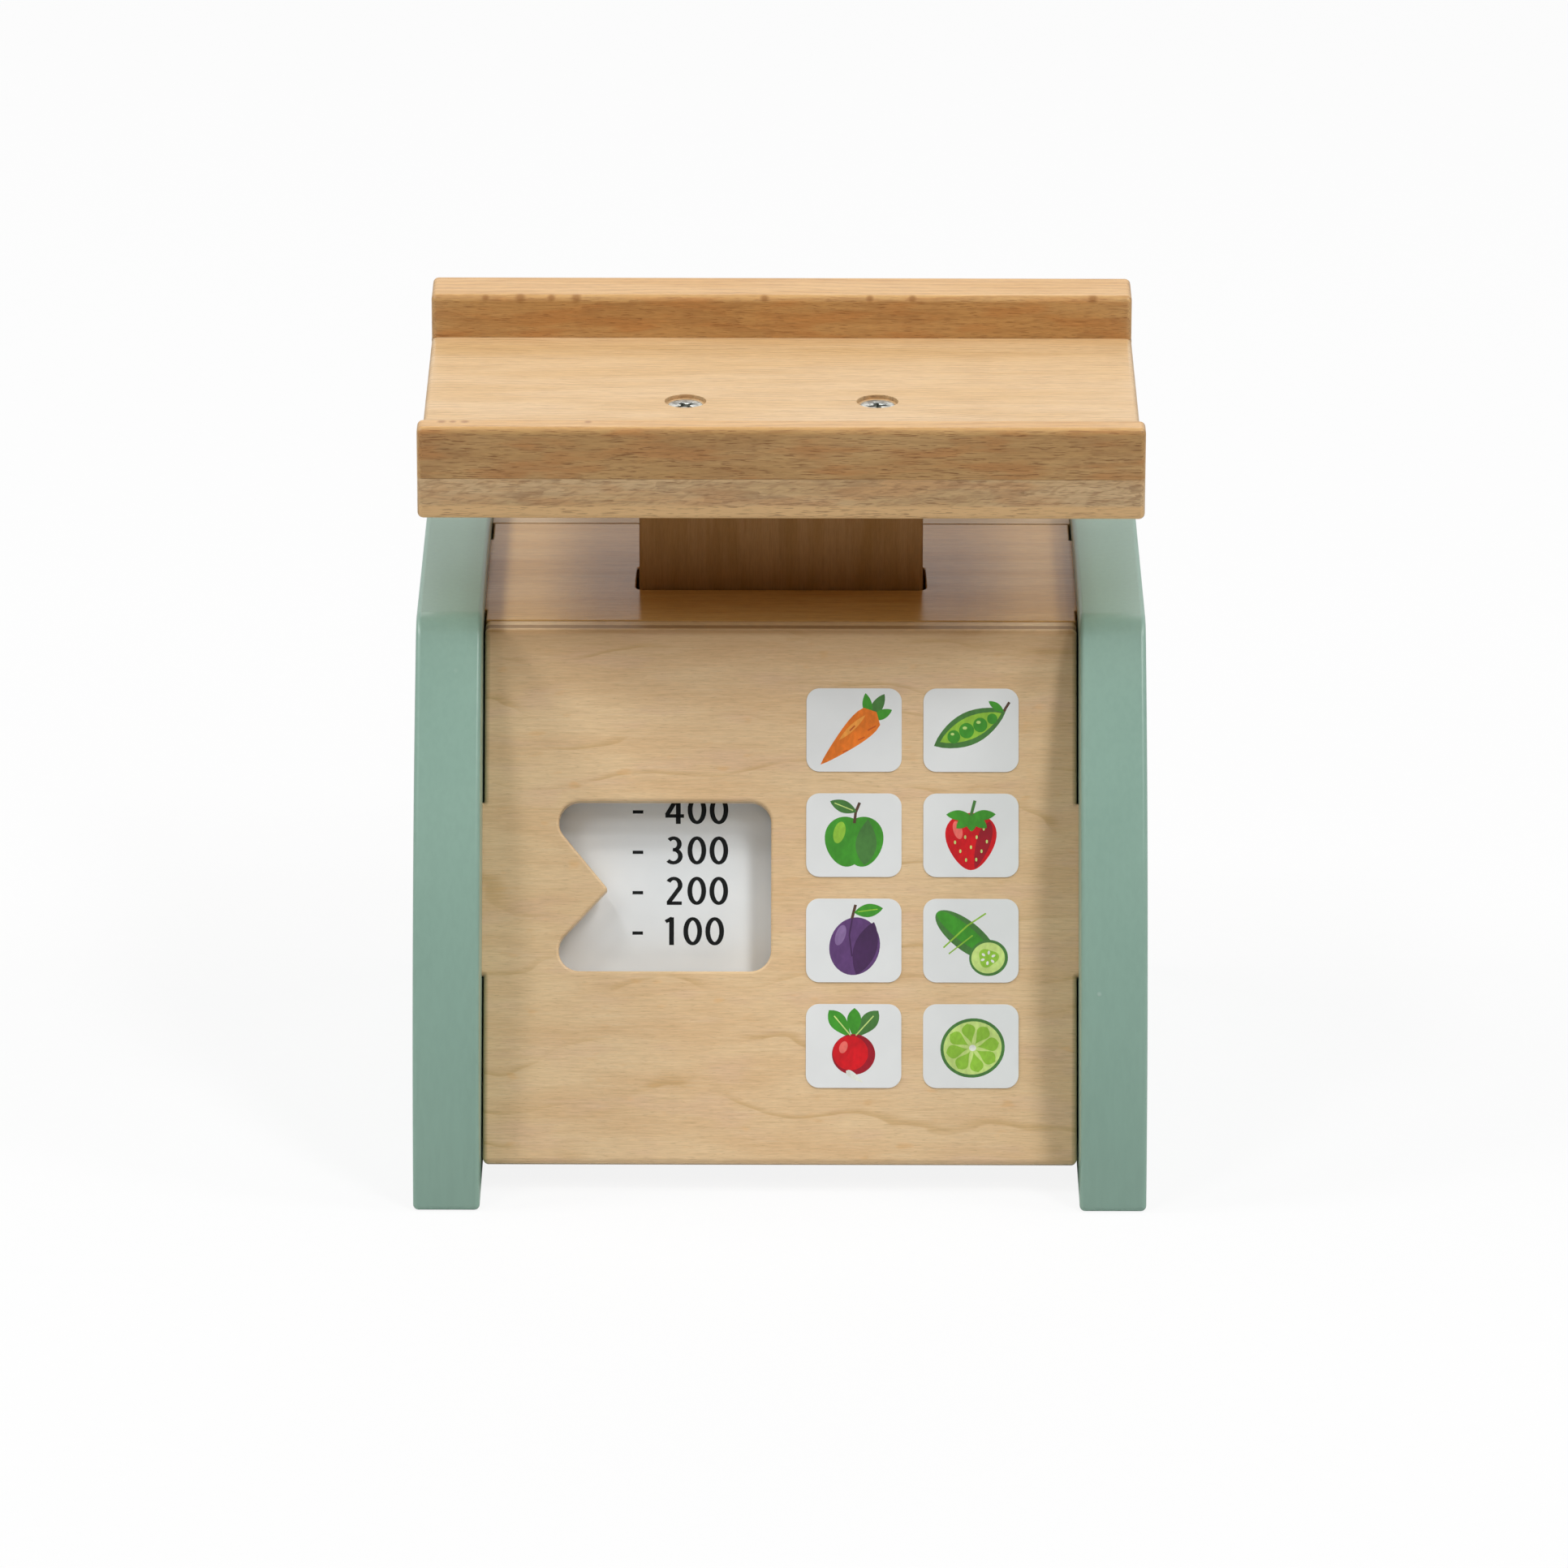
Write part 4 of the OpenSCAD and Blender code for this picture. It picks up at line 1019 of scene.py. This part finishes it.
# Each figure from the lowest print to the highest: ink, kind of shape, and the measures of one or more
FIGURES = {
    "carrot": [
        ("moss", leaf, (3.6, 2.6, 6.9, 8.2, 1.3)),
        ("green", leaf, (3.4, 2.8, 2.6, 8.4, 1.1), (4.0, 2.4, 8.6, 4.6, 1.1)),
        ("orange", leaf, (5.1, 4.1, -7.6, -7.9, 3.1, 0.22)), ("amber", leaf, (2.6, 3.4, -3.4, -2.3, 0.65)),
        ("rust", stroke, (0.16, (4.9, 0.9), (3.1, -0.1)), (0.16, (2.4, -1.6), (0.9, -2.3)),
         (0.16, (0.2, 1.0), (-1.0, -0.2)), (0.14, (-1.4, -4.6), (-2.6, -5.0)))],
    "pea_pod": [
        ("moss", leaf, (-8.4, -3.6, 8.0, 4.6, 3.7)), ("lime", leaf, (-7.0, -2.7, 6.9, 3.9, 2.5)),
        ("green", egg, (-3.9, -1.5, 1.45, 1.5), (-1.0, -0.1, 1.7, 1.75), (2.1, 1.2, 1.6, 1.65),
         (4.8, 2.6, 1.15, 1.2)),
        ("pale", egg, (-1.4, 0.5, 0.5, 0.35), (1.7, 1.8, 0.5, 0.35), (-4.2, -0.9, 0.42, 0.3)),
        ("bark", stroke, (0.3, (7.4, 4.3), (8.7, 6.4))), ("green", leaf, (7.4, 4.3, 4.0, 6.6, 0.8))],
    "apple": [
        ("green", egg, (-1.9, -1.5, 4.6, 5.7, 6, 0.12), (2.1, -1.5, 4.5, 5.7, -6, 0.12)),
        ("moss", leaf, (3.2, 3.7, 2.4, -6.8, 2.4, 0.55)), ("lime", egg, (-3.3, 0.6, 1.3, 2.5, -14)),
        ("bark", stroke, (0.32, (0.1, 2.7), (0.4, 5.2), (1.3, 7.4))),
        ("moss", leaf, (0.6, 5.3, -5.4, 7.7, 1.4)), ("pale", stroke, (0.12, (-0.2, 5.6), (-4.4, 7.3)))],
    "strawberry": [
        ("red", egg, (0, -1.4, 5.6, 6.5, 0, 0.30)), ("wine", leaf, (4.3, 3.2, 0.9, -7.7, 1.6, 0.4)),
        ("rose", egg, (-3.0, 1.2, 1.0, 2.1, 16)), ("pale", egg, *[(u, v, 0.24, 0.42) for u, v in PIPS]),
        ("green", leaf, *[(0, 4.4, u, v, 1.15) for u, v in CROWN]),
        ("moss", stroke, (0.34, (0, 4.5), (0.9, 7.9)))],
    "plum": [
        ("plum", egg, (0.2, -1.3, 5.7, 6.6, -14)), ("dusk", leaf, (4.6, 4.2, 0.6, -7.8, 2.6, 0.5)),
        ("lilac", egg, (-3.0, 1.2, 1.1, 2.4, -18)),
        ("dusk", stroke, (0.17, (-0.3, 5.2), (-1.0, 1.2), (-0.4, -3.6))),
        ("bark", stroke, (0.32, (-0.4, 5.0), (0.4, 8.1))), ("green", leaf, (0.1, 6.3, 6.6, 7.3, 1.5)),
        ("lime", stroke, (0.12, (0.9, 6.5), (5.4, 7.1)))],
    "cucumber": [
        ("moss", egg, (-1.2, 1.2, 3.3, 8.3, 52)), ("green", egg, (-1.9, 2.0, 1.9, 7.2, 52)),
        ("lime", stroke, (0.18, (-6.2, -1.6), (-0.8, 3.4), (3.4, 6.2)), (0.15, (-5.0, -3.0), (0.4, 1.2))),
        ("moss", egg, (4.0, -3.9, 4.4, 4.1, 10)), ("pale", egg, (3.9, -3.9, 3.8, 3.5, 10)),
        ("lime", egg, (3.9, -3.9, 2.2, 2.0, 10, 0, 3, 0.14)),
        ("white", egg, *[(3.9 + 1.3 * cos(a), -3.9 + 1.2 * sin(a), 0.28, 0.45,
                          degrees(a) - 90) for a in SEED_TURNS])],
    "radish": [
        ("green", leaf, (-0.4, 1.6, -5.6, 8.1, 1.9, 0.62)), ("moss", leaf, (0.2, 1.6, 5.6, 8.0, 1.9, 0.62)),
        ("green", leaf, (0, 1.6, 0.2, 8.6, 1.6, 0.62)), ("wine", egg, (0, -1.9, 4.9, 4.6)),
        ("red", egg, (-0.7, -1.6, 4.0, 3.9)), ("rose", egg, (-2.3, -0.3, 0.9, 1.4, -20)),
        ("white", leaf, (-1.7, -5.6, 2.2, -8.3, 0.7, 0.3)),
        ("pale", stroke, (0.14, (-0.7, 2.4), (-4.4, 6.8)), (0.14, (0.5, 2.4), (4.5, 6.8)))],
    "lime": [
        ("moss", egg, (0.4, -0.4, 7.3, 6.7, 12)), ("pale", egg, (0.4, -0.4, 6.6, 6.0, 12)),
        ("white", egg, (0.4, -0.4, 0.8, 0.7)),
        ("lime", leaf, *[(0.4 + 0.9 * cos(a), -0.4 + 0.85 * sin(a), 0.4 + 6.1 * cos(a),
                          -0.4 + 5.6 * sin(a), 1.55, 0.7) for a in SEGMENT_TURNS])],
}

# Film and prints; every print lies one PRINT_STEP higher than the one below it
STICKER_R = 3 * MM
STICKER_HALF_H = 9.5 * MM
FILM_T = 0.19 * MM
PRINT_STEP = 0.0024 * MM


def make_stickers():
    inks = {name: ink(f"ink_{name}", colour) for name, colour in INKS.items()}
    base = GLUE + FILM_T
    for name, figure in FIGURES.items():
        low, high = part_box(f"sticker_{name}")
        half_u = (high.x - low.x) / 2
        up = up_slope((low.y + high.y) / 2, (low.z + high.z) / 2)
        middle = SLOPE @ Vector(((low.x + high.x) / 2, up, 0))
        place = Matrix.Translation(middle) @ SLOPE.to_3x3().to_4x4()
        outline = box_outline(-half_u, -STICKER_HALF_H, half_u, STICKER_HALF_H, STICKER_R)
        sheet = plate(outline, GLUE, base, FILM_EASE).object(f"sticker_sheet_{name}", [film], place)
        dress(sheet, "housing", "sticker_film", f"sticker_{name}")
        used = sorted({colour for colour, *_ in figure})
        shapes = [(colour, kind(*numbers)) for colour, kind, *rows in figure for numbers in rows]
        art = Shell()
        for k, (colour, shape) in enumerate(shapes):
            high_w = base + PRINT_STEP * (k + 1)
            slot = used.index(colour)
            points, half = shape if isinstance(shape, tuple) else (shape, 0)
            points = [(a * MM, b * MM) for a, b in points]
            if half:
                ribbon(art, points, (half * MM, half * MM), base, high_w, slot=slot)
            else:
                slab(art, points, base, high_w, slot)
        print_piece = art.object(f"print_{name}", [inks[colour] for colour in used], place)
        dress(print_piece, "housing", "sticker_film")


# Springs on the guide rods
SPRING_R = 4.8 * MM
WIRE_R = 0.4 * MM
TURNS = 12
TURN_STEPS = 24
WIRE_SIDES = 8


def make_springs():
    for side in ("left", "right"):
        low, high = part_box(f"spring_{side}")
        x, y = (low.x + high.x) / 2, (low.y + high.y) / 2
        foot, rise = low.z + WIRE_R, high.z - low.z - 2 * WIRE_R
        lead = atan2(rise / TURNS, 2 * pi * SPRING_R)
        turns = [2 * pi * k / WIRE_SIDES for k in range(WIRE_SIDES)]
        coil = Shell()
        rings = []
        for i in range(TURNS * TURN_STEPS + 1):
            a = 2 * pi * i / TURN_STEPS
            out = Vector((cos(a), sin(a), 0))
            up = Vector((sin(a) * sin(lead), -cos(a) * sin(lead), cos(lead)))
            centre = out * SPRING_R + Vector((0, 0, foot + rise * i / (TURNS * TURN_STEPS)))
            normals = [out * cos(b) + up * sin(b) for b in turns]
            rings.append((coil.ring([centre + n * WIRE_R for n in normals]), normals))
        for (one, one_normals), (two, two_normals) in zip(rings, rings[1:]):
            coil.wall(one, two, one_normals, two_normals, flip=True)
        coil.face(rings[0][0], [(0, -1, 0)] * WIRE_SIDES)
        coil.face(rings[-1][0][::-1], [(0, 1, 0)] * WIRE_SIDES)
        piece = coil.object(f"coil_spring_{side}", [steel], Matrix.Translation((x, y, 0)))
        dress(piece, "housing", "spring_steel", f"spring_{side}")
        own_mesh(piece)


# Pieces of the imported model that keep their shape
KEPT = {
    "base_panel": housing_wood, "tray_post": post_wood, "indicator_board": housing_wood,
    "indicator_bracket_left": housing_wood, "indicator_bracket_right": housing_wood,
    "base_dowels": pin_wood, "back_dowels": pin_wood, "guide_rod_left": rod_wood,
    "guide_rod_right": rod_wood, "stop_pad": felt,
}


def finish_packed_pieces():
    for name, material in KEPT.items():
        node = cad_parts[name]
        node.data.materials.clear()
        node.data.materials.append(material)
        weld = node.modifiers.new("weld", "WELD")
        weld.merge_threshold = 0.001 * MM
        ease = node.modifiers.new("ease", "BEVEL")
        ease.width = BOARD_EASE
        ease.segments = 3
        ease.limit_method = "ANGLE"
        ease.angle_limit = radians(40)


# Floor and background
FLOOR_HALF = 10.0
FLOOR_SHADE = 0.8
BACKGROUND = 0.88
AMBIENT = 0.02


def make_floor():
    """Pale floor that shows to the camera a little below white, and keeps the object's shadow."""
    mesh = bpy.data.meshes.new("studio_floor")
    ring = [(x * FLOOR_HALF, y * FLOOR_HALF, 0) for x, y in ((-1, -1), (1, -1), (1, 1), (-1, 1))]
    mesh.from_pydata(ring, [], [(0, 1, 2, 3)])
    p = Paint("floor_white")
    grey = p.grey(p.spread(p.noise(4), FLOOR_SHADE * 0.99, FLOOR_SHADE * 1.01))
    shown = p.times(p.out("LightPath", {}, "Is Camera Ray"), BACKGROUND)
    weaker = p.out("MixShader", {0: shown, 1: p.out("BsdfDiffuse", {"Color": grey})})
    glow = p.out("Emission", {"Color": (1, 1, 1, 1), "Strength": shown})
    p.node("OutputMaterial", {"Surface": p.out("AddShader", {0: weaker, 1: glow})})
    mesh.materials.append(p.material)
    floor = bpy.data.objects.new("studio_floor", mesh)
    scene.collection.objects.link(floor)


def make_world():
    """White to the camera and in mirrors, and almost dark as a light."""
    scene.world = bpy.data.worlds.new("studio")
    w = Nodes(scene.world)
    path = w.node("LightPath").outputs
    seen = w.math("MAXIMUM", path["Is Camera Ray"], path["Is Glossy Ray"])
    level = w.out("MapRange", {"Value": seen, "To Min": AMBIENT, "To Max": 1.0})
    back = w.out("Background", {"Color": (1, 1, 1, 1), "Strength": level})
    w.node("OutputWorld", {"Surface": back})
    scene.view_settings.view_transform = "Standard"


# Studio lights: azimuth from the front to the right, elevation, width and height in degrees, strength
LIGHTS = {
    "key_left": (-58, 65, 9, 9, 0.152),
    "key_right": (57, 64, 9, 9, 0.157),
    "key_right_low": (45, 55, 9, 9, 0.175),
    "front_left": (-38, 41, 14, 14, 0.086),
    "front_right": (38, 41, 14, 14, 0.086),
    "side_left": (-90, 46, 12, 12, 0.325),
    "side_right": (89, 46, 12, 12, 0.240),
    "behind_left": (-110, 40, 16, 16, 0.140),
    "behind_right": (110, 40, 16, 16, 0.096),
    "behind": (180, 40, 30, 14, 0.135),
}
LIGHT_DISTANCE = 2.5
LIGHT_TARGET = Vector((0, 0, 0.08))


def make_lights():
    for name, (azimuth, elevation, width, height, strength) in LIGHTS.items():
        a, e = radians(azimuth), radians(elevation)
        way = Vector((sin(a) * cos(e), -cos(a) * cos(e), sin(e)))
        data = bpy.data.lights.new(name, "AREA")
        data.shape = "RECTANGLE"
        data.size = 2 * LIGHT_DISTANCE * tan(radians(width / 2))
        data.size_y = 2 * LIGHT_DISTANCE * tan(radians(height / 2))
        data.energy = strength * (pi * LIGHT_DISTANCE) ** 2
        lamp = bpy.data.objects.new(name, data)
        lamp.location = LIGHT_TARGET + way * LIGHT_DISTANCE
        lamp.rotation_euler = way.to_track_quat("Z", "Y").to_euler()
        scene.collection.objects.link(lamp)


# Camera at the photograph's angle, with a long lens
CAMERA_PLACE = (0.77 * MM, -2163.9 * MM, 891.1 * MM)
CAMERA_LEAN = radians(69.28)
CAMERA_ROLL = radians(0.12)


def make_camera():
    data = bpy.data.cameras.new("camera")
    data.sensor_width = 36
    data.lens = 231.06
    data.clip_end = 100
    camera = bpy.data.objects.new("camera", data)
    turned = Matrix.Rotation(CAMERA_LEAN, 4, "X") @ Matrix.Rotation(CAMERA_ROLL, 4, "Z")
    camera.matrix_world = Matrix.Translation(CAMERA_PLACE) @ turned
    scene.collection.objects.link(camera)
    scene.camera = camera


make_camera()
make_side_panels()
make_front_panel()
make_top_board()
make_back_board()
make_tray()
make_screws()
make_card()
make_stickers()
make_springs()
finish_packed_pieces()
make_floor()
make_lights()
make_world()

bpy.context.view_layer.update()
